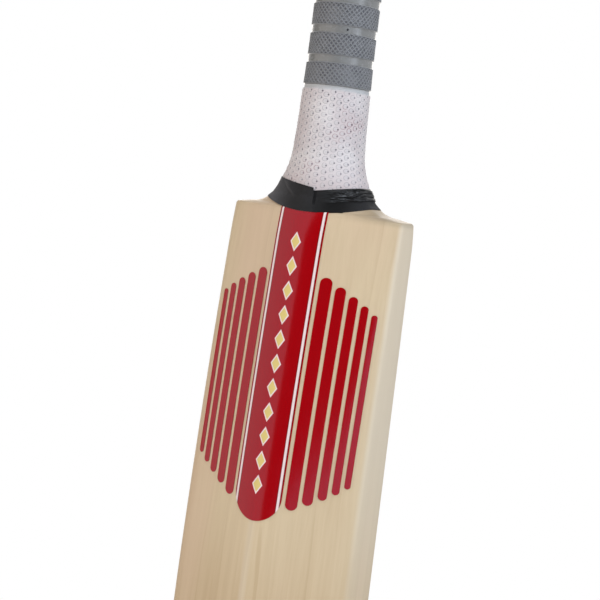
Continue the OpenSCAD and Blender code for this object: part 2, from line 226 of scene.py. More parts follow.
class WrapSettings(bpy.types.PropertyGroup):
    """Sizes and colours of the perforated wrap."""
    thickness: size("Thickness", "Thickness of the wrap", 1.55 * MM)
    seat: size("Seat", "Room under the wrap", 0.1 * MM)
    twine: size("Twine", "Room for twine under the wrap above the wood", 0.8 * MM)
    hem: size("Hem", "Height over which the foot thins out", 8 * MM)
    lift: size("Lift", "How far the whipping lifts the outside of the wrap", 0.56 * MM)
    margin: size("Margin", "Height of the plain margin at the top", 2 * MM)
    columns: number("Columns", "Columns of pores round the wrap", 32, 8)
    row_gap: size("Row gap", "Distance between pores in a column", 3.5 * MM)
    pore_r: size("Pore radius", "Radius of a pore", 0.46 * MM)
    pad_r: size("Pad radius", "Radius of the embossed pad beside a pore", 1.4 * MM)
    emboss: size("Emboss", "Height of the embossed pads", 0.1 * MM)
    skin: tint("Skin", "Off-white of the wrap", "#e4dddb")
    stain: tint("Stain", "Pinkish grey where it has been handled", "#c9b9b8")
    pad: tint("Pads", "Greyer white of the pads' crowns", "#cbc7c8")
    margin_tint: tint("Margin colour", "Greyish white of the plain margin", "#bcbfc0")
    # Creases and their reddish tone: colours of a painted shade round the pads.
    crease: tint("Creases", "Grey in the creases round the pads", "#a69da1")
    reddish_crease: tint("Rust", "Reddish dirt in a few creases", "#9c727a")
    # Pores: a dark paint that stands in for the shade inside the holes.
    pore: tint("Pores", "Dark of the pores", "#6a6266")


class TapeSettings(bpy.types.PropertyGroup):
    """Sizes and colours of the black tape."""
    thickness: size("Thickness", "Thickness of one turn", 0.25 * MM)
    seat: size("Seat", "Room under the tape", 0.1 * MM)
    reach: size("Reach", "Half width of the neck at the tape", 29 * MM)
    bow_r: size("Bow radius", "Radius of the lower edge", 92 * MM)
    foot: size("Foot", "Lower edge above the shoulder corners at the spine", -0.2 * MM, -5 * MM)
    head: size("Head", "Upper edge above the shoulder corners at the cut end", 11.2 * MM)
    rise: size("Rise", "Rise of the first turn's upper edge to the right", 4 * MM)
    lap_x: size("Lap", "Cut end, to the right of the spine", 5 * MM)
    lap_step: size("Lap step", "Cut corner of the second turn above the first turn's edge", 1.4 * MM)
    lap_rise: size("Lap rise", "Rise of the second turn's upper edge to the left", 3.8 * MM)
    tilt: size("Tilt", "Drop of the lower edge on the right", 0.5 * MM)
    fold: size("Fold", "Height of the bunched folds on the right", 0.8 * MM)
    vinyl: tint("Vinyl", "Black of the tape", "#141312")
    # Worn: grey of the scuffs, and also the grey of the painted light across the tape.
    worn: tint("Worn", "Grey where the tape is scuffed or stretched", "#5a595b")
    slit: tint("Slit", "Shadow beside the cut end", "#060606")


class FilmSettings(bpy.types.PropertyGroup):
    """Sizes and colours of the printed films."""
    thickness: size("Thickness", "Thickness of the films", 0.2 * MM)
    seat: size("Seat", "Room under the films", 0.1 * MM)
    band_w: size("Band width", "Width of the film on the spine", 28.4 * MM)
    pin_x: size("Pinstripe place", "Middle of the pinstripes from the spine", 12.6 * MM)
    pin_w: size("Pinstripe width", "Width of the pinstripes", 1.3 * MM)
    spot_gap: size("Lozenge gap", "Distance from one lozenge to the next", 13 * MM)
    spot_l: size("Lozenge length", "Half length of a lozenge", 5.2 * MM)
    spot_w: size("Lozenge width", "Half width of a lozenge", 3.1 * MM)
    stripes: number("Stripes", "Stripes on each side", 5)
    stripe_w: size("Stripe width", "Width of the stripe next to the spine film", 6.2 * MM)
    stripe_thin: size("Stripe step in width", "How much narrower each stripe is", 0.8 * MM)
    stripe_gap: size("Stripe gap", "Gap between the stripes", 2 * MM)
    stripe_step: size("Stripe step in length", "How much each stripe stops short of the last", 4 * MM)
    red: tint("Red", "Red of the print", "#a80108")
    deep: tint("Deep red", "Outlines beside the pinstripes", "#7a0106")
    pale: tint("Pale", "Pinstripes", "#f3dcd8")
    gold: tint("Gold", "Lozenges along the spine", "#e2c878")
    sheen: tint("Sheen", "Cool tint of the gloss", "#cfe0ff")


class StageSettings(bpy.types.PropertyGroup):
    """Camera and floor."""
    azimuth: angle("Azimuth", "Camera's turn round the bat from the spine side", 28)
    elevation: angle("Elevation", "Camera's height above level", 6.3)
    roll: angle("Roll", "Lean of the bat in the picture", 7.08)
    aim: FloatVectorProperty(name="Aim", description="Point in the middle of the picture", size=3,
                             default=(-6.44 * MM, 0, 507.25 * MM), subtype="TRANSLATION", unit="LENGTH")
    distance: size("Distance", "Camera from the aim", 685.9 * MM)
    lens: number("Lens", "Focal length in millimetres", 75)
    floor: tint("Floor", "Pale floor", "#f2f2f2")


class BatSettings(bpy.types.PropertyGroup):
    """All the settings of the bat."""
    blade: PointerProperty(type=BladeSettings)
    handle: PointerProperty(type=HandleSettings)
    grip: PointerProperty(type=GripSettings)
    wrap: PointerProperty(type=WrapSettings)
    tape: PointerProperty(type=TapeSettings)
    film: PointerProperty(type=FilmSettings)
    stage: PointerProperty(type=StageSettings)


# Node trees

class Term:
    """An output socket in a node tree; sums and products on it add Math nodes."""

    def __init__(self, tree, socket):
        self.tree, self.socket = tree, socket

    def math(self, operation, *others):
        return self.tree.add("ShaderNodeMath", {"operation": operation}, [self, *others])

    def __add__(self, other):
        return self.math("ADD", other)

    def __sub__(self, other):
        return self.math("SUBTRACT", other)

    def __rsub__(self, other):
        return self.tree.add("ShaderNodeMath", {"operation": "SUBTRACT"}, [other, self])

    def __mul__(self, other):
        return self.math("MULTIPLY", other)

    def __truediv__(self, other):
        return self.math("DIVIDE", other)

    def __pow__(self, other):
        return self.math("POWER", other)

    def __neg__(self):
        return self * -1

    def __abs__(self):
        return self.math("ABSOLUTE")

    __radd__, __rmul__ = __add__, __mul__

    def least(self, other):
        return self.math("MINIMUM", other)

    def most(self, other):
        return self.math("MAXIMUM", other)

    def unit(self):
        """Held between 0 and 1."""
        return self.most(0).least(1)

    def wave(self):
        return self.math("SINE")

    def part(self):
        return self.math("FRACT")

    def step(self, start, end):
        """0 below start and 1 above end, with a smooth rise between."""
        return self.tree.add("ShaderNodeMapRange", {"interpolation_type": "SMOOTHSTEP"},
                             {"Value": self, "From Min": start, "From Max": end})

    def bump_at(self, place, half):
        """1 within half of a place, with soft sides."""
        return 1 - abs(self - place).step(half * 0.8, half * 1.2)


class Tree:
    """A node tree with one way to add any node."""

    def __init__(self, nodes):
        self.nodes, self.links = nodes.nodes, nodes.links

    def add(self, kind, settings=None, inputs=None, out=0):
        """Adds a node, sets its settings, then fills its inputs with values or links."""
        node = self.nodes.new(kind)
        for name, value in (settings or {}).items():
            setattr(node, name, value)
        pairs = enumerate(inputs) if isinstance(inputs, list) else (inputs or {}).items()
        for key, value in pairs:
            self.fill(node.inputs[key], value)
        return Term(self, node.outputs[out])

    def fill(self, socket, value):
        """Links a term to a socket, or sets the socket's own value."""
        if isinstance(value, Term):
            self.links.new(value.socket, socket)
        elif socket.type == "RGBA":
            socket.default_value = [*value, 1]
        else:
            socket.default_value = value

    def outputs(self, term, *names):
        """Other outputs of the node that a term came from."""
        return [Term(self, term.socket.node.outputs[name]) for name in names]

    def xyz(self, vector):
        return self.outputs(self.add("ShaderNodeSeparateXYZ", inputs=[vector]), "X", "Y", "Z")

    def vector(self, x, y, z):
        return self.add("ShaderNodeCombineXYZ", inputs=[x, y, z])


class Paint(Tree):
    """A material's tree, with its Principled shader and the pattern nodes that the finishes share."""

    def __init__(self, name):
        self.material = bpy.data.materials.new(name)
        self.material.use_nodes = True
        super().__init__(self.material.node_tree)
        self.shader = self.nodes["Principled BSDF"]

    @cached_property
    def place(self):
        """Object coordinates, in metres."""
        return self.add("ShaderNodeTexCoord", out="Object")

    def mark(self, name):
        """A number kept on the mesh's points."""
        return self.add("ShaderNodeAttribute", {"attribute_name": name}, out="Fac")

    def stretched(self, scale):
        return self.add("ShaderNodeVectorMath", {"operation": "MULTIPLY"}, [self.place, scale])

    def noise(self, scale, detail, rough=0.5):
        """Soft noise; its scale, per metre, is one number or one for each axis."""
        place = self.place
        if isinstance(scale, tuple):
            place, scale = self.stretched(scale), 1.0
        return self.add("ShaderNodeTexNoise", inputs={
            "Vector": place, "Scale": scale, "Detail": detail, "Roughness": rough})

    def cells(self, scale):
        """Distance to the nearest of a scatter of points."""
        return self.add("ShaderNodeTexVoronoi", inputs={"Vector": self.stretched(scale), "Scale": 1.0})

    def mix(self, factor, first, second):
        """Mix of two colours; 6, 7 and 2 are the node's colour sockets."""
        return self.add("ShaderNodeMix", {"data_type": "RGBA"}, {0: factor, 6: first, 7: second}, out=2)

    def set(self, name, value):
        self.fill(self.shader.inputs[name], value)

    def finish(self, colour, roughness, height=None, depth=0.0):
        """Sets the shader's colour, roughness and optional bump; returns the material."""
        self.set("Base Color", colour)
        self.set("Roughness", roughness)
        if height is not None:
            bump = self.add("ShaderNodeBump", inputs={"Height": height, "Distance": depth, "Strength": 1})
            self.set("Normal", bump)
        return self.material


class Geometry(Tree):
    """A Geometry Nodes tree with named inputs, and the nodes that the pieces share."""

    def __init__(self, name, inputs):
        self.group = bpy.data.node_groups.new(name, "GeometryNodeTree")
        super().__init__(self.group)
        for label, kind in {"Geometry": "Geometry", **inputs}.items():
            self.group.interface.new_socket(label, in_out="INPUT", socket_type=f"NodeSocket{kind}")
        self.group.interface.new_socket("Geometry", in_out="OUTPUT", socket_type="NodeSocketGeometry")
        source = self.nodes.new("NodeGroupInput")
        self.given = {socket.name: Term(self, socket) for socket in source.outputs if socket.name}

    def node(self, kind, inputs, out=0):
        """Adds a geometry node by its short name."""
        return self.add(f"GeometryNode{kind}", None, inputs, out)

    def mesh_of(self, name):
        """Mesh of an object that is one of the inputs."""
        return self.node("ObjectInfo", {"Object": self.given[name]}, "Geometry")

    def kept(self, name, kind):
        """Numbers or vectors kept on the points."""
        return self.add("GeometryNodeInputNamedAttribute", {"data_type": kind}, {"Name": name})

    def copies(self, points, mesh, **settings):
        return self.node("InstanceOnPoints", {"Points": points, "Instance": mesh, **settings})

    def join(self, *parts):
        """Geometry of several parts; each new link goes before the ones already there."""
        node = self.nodes.new("GeometryNodeJoinGeometry")
        for part in reversed(parts):
            self.links.new(part.socket, node.inputs[0])
        return Term(self, node.outputs[0])

    def end(self, geometry):
        """Ends the tree in its output; returns the node group."""
        self.links.new(geometry.socket, self.nodes.new("NodeGroupOutput").inputs[0])
        return self.group


# Finishes

def willow_finish(blade):
    """Pale willow: rings, fibres, clouds, painted shade darkening it towards the toe, paler edges of bare
    wood and painted sheen, a painted highlight down the spine's crest, painted shade on the shoulders,
    heavier on the right, and flecks.
    """
    p = Paint("willow")
    x, y, z = p.xyz(p.place)
    ring_w, lean, wander = 11 * MM, 0.42, 30 * MM
    across = x + y * lean + p.noise((6, 6, 2.6), 2.0) * wander
    ring = (across / ring_w + p.noise((90, 90, 0.9), 2.0) * 3.0).part()
    faint = p.noise((45, 45, 3.5), 2.0).step(0.42, 0.68)
    late = ring ** 4 * (1 - ring.step(0.93, 1.0)) * faint
    fibre = p.noise((1500, 1500, 22), 4.0, 0.62)
    strand = p.noise((330, 330, 5), 3.0)
    cloud = p.noise((16, 16, 7), 3.0)
    warm = p.noise((22, 22, 3.5), 2.0)

    # Painted shade: the willow darkens towards the toe, below a ragged line, where the light falls off.
    low_shade_foot, low_shade_head, low_shade_rag = 320 * MM, 400 * MM, 60 * MM
    low_shade = (1 - (z + (cloud - 0.5) * low_shade_rag).step(low_shade_foot, low_shade_head)) * 0.30
    grain = late * 0.36 + (fibre - 0.5) * 0.24 + (strand - 0.5) * 0.45
    weight = grain + (cloud - 0.5) * 0.5 + low_shade + 0.13
    ground = p.mix(weight.unit(), blade.willow, blade.grain)
    ground = p.mix(warm.step(0.42, 0.66) * 0.6, ground, blade.blush)

    bare_foot, bare_head = 300 * MM, 460 * MM
    rise = ((z - blade.swell) / (blade.length - blade.swell)).unit()
    half = blade.width / 2 - rise * rise * ((blade.width - blade.shoulder_w) / 2)
    # Paler edges: partly bare edge grain, partly a painted sheen where the edges catch the light.
    bare = (abs(x) / half).step(0.95, 0.99) * z.step(bare_foot, bare_head) * 0.7
    # Painted highlight: a pale streak in the edges' colour down the spine's crest on the back.
    on_back = 1 - y.step(-12 * MM, -8 * MM)
    crest_highlight = (1 - abs(x).step(0.6 * MM, 3 * MM)) * on_back * 0.3
    pale = p.mix(bare.most(crest_highlight), ground, blade.edge)

    # Painted shade: the shoulder tops are darkened to a greyish brown, more on the right shoulder.
    ragged = z + (cloud - 0.5) * (4 * MM)
    shoulder = ragged.step(blade.length - 4 * MM, blade.length + 3 * MM)
    shoulder = shoulder * (0.15 + x.step(15 * MM, 45 * MM) * 0.75)
    fleck = 1 - p.cells((95, 95, 26)).step(0.035, 0.075)
    rare = p.noise((30, 30, 12), 1.0).step(0.62, 0.70)
    colour = p.mix(fleck * rare * 0.55, p.mix(shoulder, pale, blade.handled), blade.speck)
    roughness = 0.40 + (strand - 0.5) * 0.16 + bare * 0.2
    return p.finish(colour, roughness, fibre * 0.7 + late * 0.5, 0.04 * MM)


def cane_finish(handle):
    """Split cane: straight golden fibres with fine dark pores."""
    p = Paint("cane")
    fibre = p.noise((900, 900, 14), 4.0, 0.6)
    pore = 1 - p.cells((1400, 1400, 60)).step(0.12, 0.3)
    cloud = p.noise((20, 20, 6), 2.0)
    ground = p.mix(((fibre - 0.3) * 1.4).unit(), handle.cane, handle.fibre)
    colour = p.mix(pore * 0.5 + (cloud - 0.5) * 0.3, ground, handle.pore)
    return p.finish(colour, 0.5 + (fibre - 0.5) * 0.2, fibre, 0.05 * MM)


def spring_finish(handle):
    """Dark rubber strip with a fine bloom."""
    p = Paint("spring_rubber")
    bloom = p.noise(900.0, 4.0)
    return p.finish(p.mix(bloom, handle.spring, handle.bloom), 0.6 + bloom * 0.2, bloom, 0.04 * MM)


def twine_finish(handle):
    """Waxed twine wound closely round the handle."""
    p = Paint("twine")
    turn = (p.xyz(p.place)[2] * (TURN / handle.twine_w)).wave()
    fuzz = p.noise(1600.0, 3.0)
    colour = p.mix(turn * 0.3 + fuzz * 0.5, handle.twine, handle.crown)
    return p.finish(colour, 0.6 + fuzz * 0.2, turn * 0.5 + fuzz * 0.3, 0.2 * MM)


def grip_finish(grip):
    """Grey rubber: pits darkened by grime and painted shade, smooth grooves, a dark pip and a dusty bloom.
    """
    p = Paint("grip_rubber")
    mark = p.mark("pit")
    pit, groove, pip = mark.unit(), (-mark).unit(), (mark - 1).unit()
    dust = p.noise(420.0, 5.0, 0.6)
    cloud = p.noise((60, 60, 25), 3.0)
    filled = p.noise((130, 130, 180), 3.0, 0.6).step(0.3, 0.7)
    ground = p.mix(groove, grip.rubber, grip.smooth)
    bloom = (dust * 0.3 + (cloud - 0.5) * 0.4) * (1 - groove * 0.5)
    dusty = p.mix(bloom.most(0), ground, grip.dusty)
    # Pits: grime and painted shade in the recesses, stronger in some pits than in others.
    colour = p.mix(pip, p.mix(pit * (0.2 + filled * 0.8), dusty, grip.dirt), grip.pip)
    p.set("Coat Weight", groove * 0.6)
    p.set("Coat Roughness", 0.36)
    return p.finish(colour, 0.48 + (dust - 0.5) * 0.2 - groove * 0.22, dust, 0.03 * MM)


def wrap_finish(wrap, foot, margin):
    """Off-white wrap with painted shade in the creases round greyer pads, reddish in a few, patches of
    handling, darker towards its foot, and a leathery grain.
    """
    p = Paint("wrap")
    z = p.xyz(p.place)[2]
    mark = p.mark("mark")
    patch = p.noise((26, 26, 30), 2.0)
    spot = p.noise((60, 60, 75), 2.0)
    worn = p.noise((110, 110, 140), 2.0)
    grain = p.noise(1300.0, 3.0)
    # Darker towards the wrap's foot.
    foot_darkening = (1 - z.step(foot, foot + 26 * MM)) * 0.7
    soiled = p.mix((patch.step(0.44, 0.62) * 0.6).most(foot_darkening), wrap.skin, wrap.stain)
    soiled = p.mix((grain - 0.35).most(0) * 0.5, soiled, wrap.crease)
    # Painted shade in the creases round the pads and pores, reddish in a few of them.
    crease = p.mix(spot.step(0.60, 0.66), wrap.crease, wrap.reddish_crease)
    creased = p.mix((-mark).unit() * (worn * 1.9 - 0.2).unit(), soiled, crease)
    crowned = p.mix(mark.unit() * (0.2 + worn * 0.5), creased, wrap.pad)
    ragged = z + (worn - 0.5) * (2.4 * MM)
    hemmed = ragged.step(margin - 1.2 * MM, margin + 0.6 * MM) * (0.5 + grain * 0.5)
    colour = p.mix(hemmed, crowned, wrap.margin_tint)
    p.set("Specular IOR Level", 0.35)
    return p.finish(colour, 0.56 + (grain - 0.5) * 0.2, grain, 0.04 * MM)


def pore_shade_finish(wrap):
    """Painted shade for the wrap's pores, whose tiles are shallow cups and not holes, some of them paler
    with dust.
    """
    p = Paint("wrap_pore_shade")
    dust = p.noise((80, 80, 110), 2.0)
    return p.finish(p.mix(dust.step(0.35, 0.65) * 0.6, wrap.pore, wrap.crease), 0.8 + (dust - 0.5) * 0.1)


def tape_finish(tape, slit_foot):
    """Black vinyl: painted light greys it towards its ends, over random scuffs; a painted shadow lies
    beside its cut end, and it shines where it bunches into folds.
    """
    p = Paint("tape")
    x, _, z = p.xyz(p.place)
    fold = p.mark("fold")
    haze = p.noise((70, 70, 160), 3.0)
    line = p.noise((160, 160, 2400), 3.0)
    scuff = p.noise(700.0, 3.0)
    # Painted light: lighter towards the left end of the second turn, and beside the cut end and towards the
    # right end of the first turn, over random haze and scuffs; paler on the folds.
    first = x.step(tape.lap_x, tape.lap_x + 2 * MM)
    second_turn_light = 2.1 - x.step(-38 * MM, -3 * MM) * 1.75
    first_turn_light = 0.24 - x.step(tape.lap_x, 15 * MM) * 0.18 + x.step(18 * MM, 34 * MM) * 0.42
    scuffs_and_painted_light = (0.3 + haze * 0.4 + scuff * 0.25) * (second_turn_light * (1 - first) + first_turn_light * first) + fold * 0.064
    slit = x.bump_at(tape.lap_x + 0.5 * MM, 0.7 * MM) * z.step(slit_foot, slit_foot + 2 * MM)
    colour = p.mix(slit * 0.55, p.mix(scuffs_and_painted_light.unit(), tape.vinyl, tape.worn), tape.slit)
    shine = fold.unit() * (1 - x.step(19 * MM, 28 * MM) * 0.75)
    p.set("Coat Weight", shine)
    p.set("Coat Roughness", 0.22)
    p.set("Specular IOR Level", 0.08)
    roughness = 0.55 + (haze - 0.5) * 0.2 - shine * 0.2
    return p.finish(colour, roughness, line * 0.6 + scuff * 0.3, 0.05 * MM)


def gloss_film(p, film, colour):
    """Glossy film over print, a little uneven where it was pressed down."""
    press = p.noise((160, 160, 60), 2.0)
    p.set("Specular Tint", film.sheen)
    return p.finish(colour, 0.10 + press * 0.06, press, 0.05 * MM)


def red_print(p, film):
    """Red ink with its grain."""
    return p.mix(p.noise(1500.0, 2.0) * 0.25, film.red, film.deep)


def stripe_finish(film):
    """Plain red print under gloss."""
    p = Paint("stripe_print")
    return gloss_film(p, film, red_print(p, film))


def spine_finish(film, foot, head):
    """Red print with two pale pinstripes and a row of gold lozenges down the middle."""
    p = Paint("spine_print")
    x, _, z = p.xyz(p.place)
    side, outline = abs(x), 0.5 * MM
    pin = side.bump_at(film.pin_x, film.pin_w / 2)
    line = side.bump_at(film.pin_x, film.pin_w / 2 + outline)
    lined = p.mix(pin, p.mix(line, red_print(p, film), film.deep), film.pale)
    gap, rim = film.spot_gap, 0.22
    along = abs(((z - foot) / gap).part() - 0.5) * gap
    spot = side / film.spot_w + along / film.spot_l
    last = foot + gap * math.floor((head - foot) / gap - 0.5)
    inside = z.step(foot + 0.9 * gap, foot + gap) * (1 - z.step(last, last + 0.1 * gap))
    pale = p.mix((1 - spot.step(0.98, 1.04)) * inside, lined, film.pale)
    gold = p.mix((1 - spot.step(0.96 - rim, 1.02 - rim)) * inside, pale, film.gold)
    return gloss_film(p, film, gold)


# Form of the wood

def mix(a, b, t):
    return a + (b - a) * t


def smooth(t):
    t = np.clip(t, 0, 1)
    return t * t * (3 - 2 * t)


def lift(values):
    """Square root of values that may be a little below nothing."""
    return np.sqrt(np.maximum(values, 0))


class BatForm:
    """The outer form of the wood at any height, worked out as the solids are."""
    width_bend, edge_bend, bow_bend, hollow_bend, flare_bend = 2, 1.6, 2, 1.08, 2
    edge_power, toe_keep = 12, 0.82

    def __init__(self, blade):
        self.b = blade
        self.neck_top = blade.length + blade.neck_h
        self.flare_top = blade.length + blade.flare_h
        self.side_top = blade.length - blade.shoulder_r
        self.hollow_foot = blade.length + blade.flat_rise
        self.splice_tip = blade.length - blade.splice_l

    def lower(self, z):
        """Share of the way from the toe up to the swell."""
        return np.clip(z / self.b.swell, 0, 1)

    def upper(self, z):
        """Share of the way from the swell up to the shoulders."""
        return np.clip((z - self.b.swell) / (self.b.length - self.b.swell), 0, 1)

    def side_x(self, z):
        """Half width of the sides, without the corners."""
        b = self.b
        return (b.width - (b.width - b.toe_w) * (1 - self.lower(z)) ** self.width_bend
                - (b.width - b.shoulder_w) * self.upper(z) ** self.width_bend) / 2

    def handle_r(self, z):
        """Radius of the bare handle, which widens towards the neck."""
        fall = np.clip((self.flare_top - z) / (self.flare_top - self.neck_top), 0, 1)
        return mix(self.b.cane_r, self.b.neck_r, fall ** self.flare_bend)

    def half_width(self, z):
        """Half width at each height: toe corner, side, shoulder corner, flat, hollow curve, handle."""
        b, z = self.b, np.asarray(z, float)
        corner_x = b.shoulder_w / 2 - b.shoulder_r
        flat_x = corner_x - b.shoulder_flat
        toe = self.side_x(z) - b.toe_r * (1 - lift(1 - np.clip(1 - z / b.toe_r, 0, 1) ** 2))
        corner = corner_x + b.shoulder_r * lift(1 - ((z - self.side_top) / b.shoulder_r) ** 2)
        flat = mix(corner_x, flat_x, (z - b.length) / b.flat_rise)
        drop = np.clip((self.neck_top - z) / (self.neck_top - self.hollow_foot), 0, 1)
        curve = lift(1 - drop ** (2 / self.hollow_bend)) ** self.hollow_bend
        hollow = b.neck_r + (flat_x - b.neck_r) * (1 - curve)
        return np.select(
            [z < b.toe_r, z < self.side_top, z < b.length, z < self.hollow_foot, z < self.neck_top],
            [toe, self.side_x(z), np.minimum(corner, self.side_x(z)), flat, hollow], self.handle_r(z))

    def depth(self, side, u, z, t):
        """Depth of the surface at share u of the half width, grown by t; side 1 is the face, -1 back."""
        b, u = self.b, np.minimum(np.abs(u), 1)
        x = self.half_width(z)
        swell = np.sin(math.pi / 2 * self.lower(z))
        edge = mix(b.toe_edge, b.swell_edge, swell) \
            - (b.swell_edge - b.shoulder_edge) * self.upper(z) ** self.edge_bend
        rise = mix(b.toe_rise, b.spine_rise, swell)
        bow = b.toe_bow * np.clip(1 - z / b.length, 0, 1) ** self.bow_bend
        toe = mix(self.toe_keep, 1, lift(1 - (1 - np.clip(z / b.toe_ease, 0, 1)) ** 2))
        square = np.maximum(1 - u ** self.edge_power, 0) ** (1 / self.edge_power)
        rounded = lift(1 - u * u)
        k = b.crest / x
        crest = 1 - (np.sqrt(u * u + k * k) - k) / (np.sqrt(1 + k * k) - k)
        swelled = b.face_crown * (1 - u * u) if side > 0 else rise * crest
        middle = b.face_set - b.face_crown + bow - edge / 2
        wood = middle + side * toe * (edge / 2 * square + swelled)
        turn = smooth((z - b.length + b.neck_run) / (b.neck_h + b.neck_run))
        neck = side * self.handle_r(z) * rounded
        return mix(wood, neck, turn) + side * t * mix(square, rounded, turn)

    def point(self, side, u, z, t=0.0):
        """Points on one side at shares u of the half width and heights z."""
        u, z, t = np.broadcast_arrays(u, z, t)
        return np.stack([u * (self.half_width(z) + t), self.depth(side, u, z, t), z], -1)

    def on_back(self, x, z, t):
        """Points on the back at distances x from the spine."""
        x, z = np.broadcast_arrays(x, z)
        return self.point(-1, x / (self.half_width(z) + t), z, t)

    def rings(self, heights, count, t=0.0):
        """A ring of points at each height, from the right over the face and back across the spine."""
        angles = np.linspace(math.pi / 2, -math.pi / 2, count)
        z = np.asarray(heights)[:, None]
        grow = np.broadcast_to(np.asarray(t), (len(heights),))[:, None]
        face = self.point(1, np.sin(angles)[None], z, grow)
        back = self.point(-1, np.sin(angles)[None, ::-1], z, grow)[:, 1:-1]
        return np.concatenate([face, back], 1)

    def heights(self, foot, head, fine=1.0):
        """Heights for sections, closer together where the outline turns; fine multiplies their number."""
        b, same = self.b, 0.01 * MM
        corner, side, hollow, flare = (int(count * fine) for count in (14, 110, 36, 24))
        turn = np.linspace(0, math.pi / 2, corner + 2)
        curve = np.cos(np.linspace(0, math.pi / 2, hollow)) ** self.hollow_bend
        runs = [b.toe_r * (1 - np.cos(turn)),
                np.linspace(b.toe_r, self.side_top, side),
                self.side_top + b.shoulder_r * np.sin(turn),
                np.linspace(b.length, self.hollow_foot, 5),
                self.neck_top - (self.neck_top - self.hollow_foot) * curve,
                np.linspace(self.neck_top, self.flare_top, flare),
                [foot, head]]
        every = np.unique(np.round(np.concatenate(runs), 7))
        kept = every[(every >= foot - same / 10) & (every <= head + same / 10)]
        return kept[np.concatenate([[True], np.diff(kept) > same])]


# Meshes

def quads(rows, columns, closed=False, offset=0):
    """Faces of a grid of points, row by row; in a closed grid the last column meets the first."""
    faces = []
    for a in range(0, (rows - 1) * columns, columns):
        for j in range(columns if closed else columns - 1):
            k = (j + 1) % columns
            faces.append([offset + a + n for n in (j, k, k + columns, j + columns)])
    return faces


def shell(outer, inner, closed=False):
    """Closed wall between two grids of points: faces on both grids and round the rim."""
    rows, columns = outer.shape[:2]
    points = np.concatenate([outer.reshape(-1, 3), inner.reshape(-1, 3)])
    half = rows * columns
    faces = quads(rows, columns, closed) + [f[::-1] for f in quads(rows, columns, closed, half)]
    grid = np.arange(half).reshape(rows, columns)
    rims = [grid[0], grid[-1, ::-1]]
    if closed:
        rims = [np.append(rim, rim[0]) for rim in rims]
    else:
        rims += [grid[::-1, 0], grid[:, -1]]
    for rim in rims:
        ring = rim.tolist()
        faces += [[a, b, b + half, a + half] for a, b in zip(ring, ring[1:])]
    return points, faces


def as_one(sheets):
    """Points and faces of several sheets as one mesh."""
    points, faces, count = [], [], 0
    for sheet_points, sheet_faces in sheets:
        points.append(sheet_points)
        faces += [[n + count for n in face] for face in sheet_faces]
        count += len(sheet_points)
    return np.concatenate(points), faces


def make_object(name, points, faces, *materials):
    """An object at the origin with its place in its mesh, its faces turned outwards."""
    mesh = bpy.data.meshes.new(name)
    mesh.from_pydata([tuple(p) for p in np.asarray(points).reshape(-1, 3)], [], faces)
    form = bmesh.new()
    form.from_mesh(mesh)
    bmesh.ops.recalc_face_normals(form, faces=form.faces)
    form.to_mesh(mesh)
    form.free()
    for material in materials:
        mesh.materials.append(material)
    thing = bpy.data.objects.new(name, mesh)
    bpy.context.scene.collection.objects.link(thing)
    soften(mesh)
    return thing


def keep_marks(thing, name, values, kind="FLOAT", field="value"):
    """Keeps a number, or a vector, on each point of a mesh."""
    thing.data.attributes.new(name, kind, "POINT").data.foreach_set(field, values)


def soften(mesh):
    """Smooth shading, with creases left sharp."""
    mesh.polygons.foreach_set("use_smooth", [True] * len(mesh.polygons))
    mesh.set_sharp_from_angle(angle=SMOOTH_ANGLE)


def apply_modifiers(thing):
    """Makes a thing's evaluated mesh its own, and removes its modifiers."""
    bpy.context.view_layer.update()
    graph = bpy.context.evaluated_depsgraph_get()
    mesh = bpy.data.meshes.new_from_object(thing.evaluated_get(graph))
    thing.modifiers.clear()
    thing.data = mesh
    soften(mesh)


def discard(*things):
    for thing in things:
        bpy.data.objects.remove(thing)


def hand_over(piece, slot, *nodes):
    """The piece stands for these CAD nodes, which it hides, and rides on their body; the slot is not used.
    """
    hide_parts(*nodes)
    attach(piece, BODY)


def use_group(thing, group, values):
    """Puts a tree on a thing, sets its inputs by identifier, and makes the result a plain mesh."""
    modifier = thing.modifiers.new(group.name, "NODES")
    modifier.node_group = group
    for item in group.interface.items_tree:
        if item.in_out == "INPUT" and item.name in values:
            modifier[item.identifier] = values[item.name]
    apply_modifiers(thing)


# Pieces

def blade_points(form, head):
    """The blade's outer skin from toe to neck, with its ends closed by strips from face to back."""
    count = BLADE_POINTS
    rings = form.rings(form.heights(0, head), count)
    rows, columns = rings.shape[:2]
    faces = quads(rows, columns, True)
    facing = [0] + [columns - i for i in range(1, count - 1)] + [count - 1]
    for row, turned in ((0, True), (rows - 1, False)):
        for i in range(count - 1):
            strip = dict.fromkeys([i, i + 1, facing[i + 1], facing[i]])
            ring = [row * columns + n for n in strip]
            faces.append(ring if turned else ring[::-1])
    return rings.reshape(-1, 3), faces


def splice_prism(form, blade):
    """The wedge of the splice as a prism right through the blade, grown by the glue line."""
    reach = blade.width
    foot, head = form.splice_tip - blade.glue, form.neck_top + blade.glue
    slope = (blade.neck_r - blade.cheek - blade.splice_tip / 2) / (form.neck_top - form.splice_tip)
    outline = [(blade.splice_tip / 2 + slope * (z - form.splice_tip) + blade.glue, z) for z in (foot, head)]
    outline += [(-x, z) for x, z in outline[::-1]]
    points = [(x, y, z) for y in (-reach, reach) for x, z in outline]
    faces = [[0, 1, 2, 3], [7, 6, 5, 4]] + [[i, i + 4, (i + 1) % 4 + 4, (i + 1) % 4] for i in range(4)]
    return make_object("splice_cutter", points, faces)


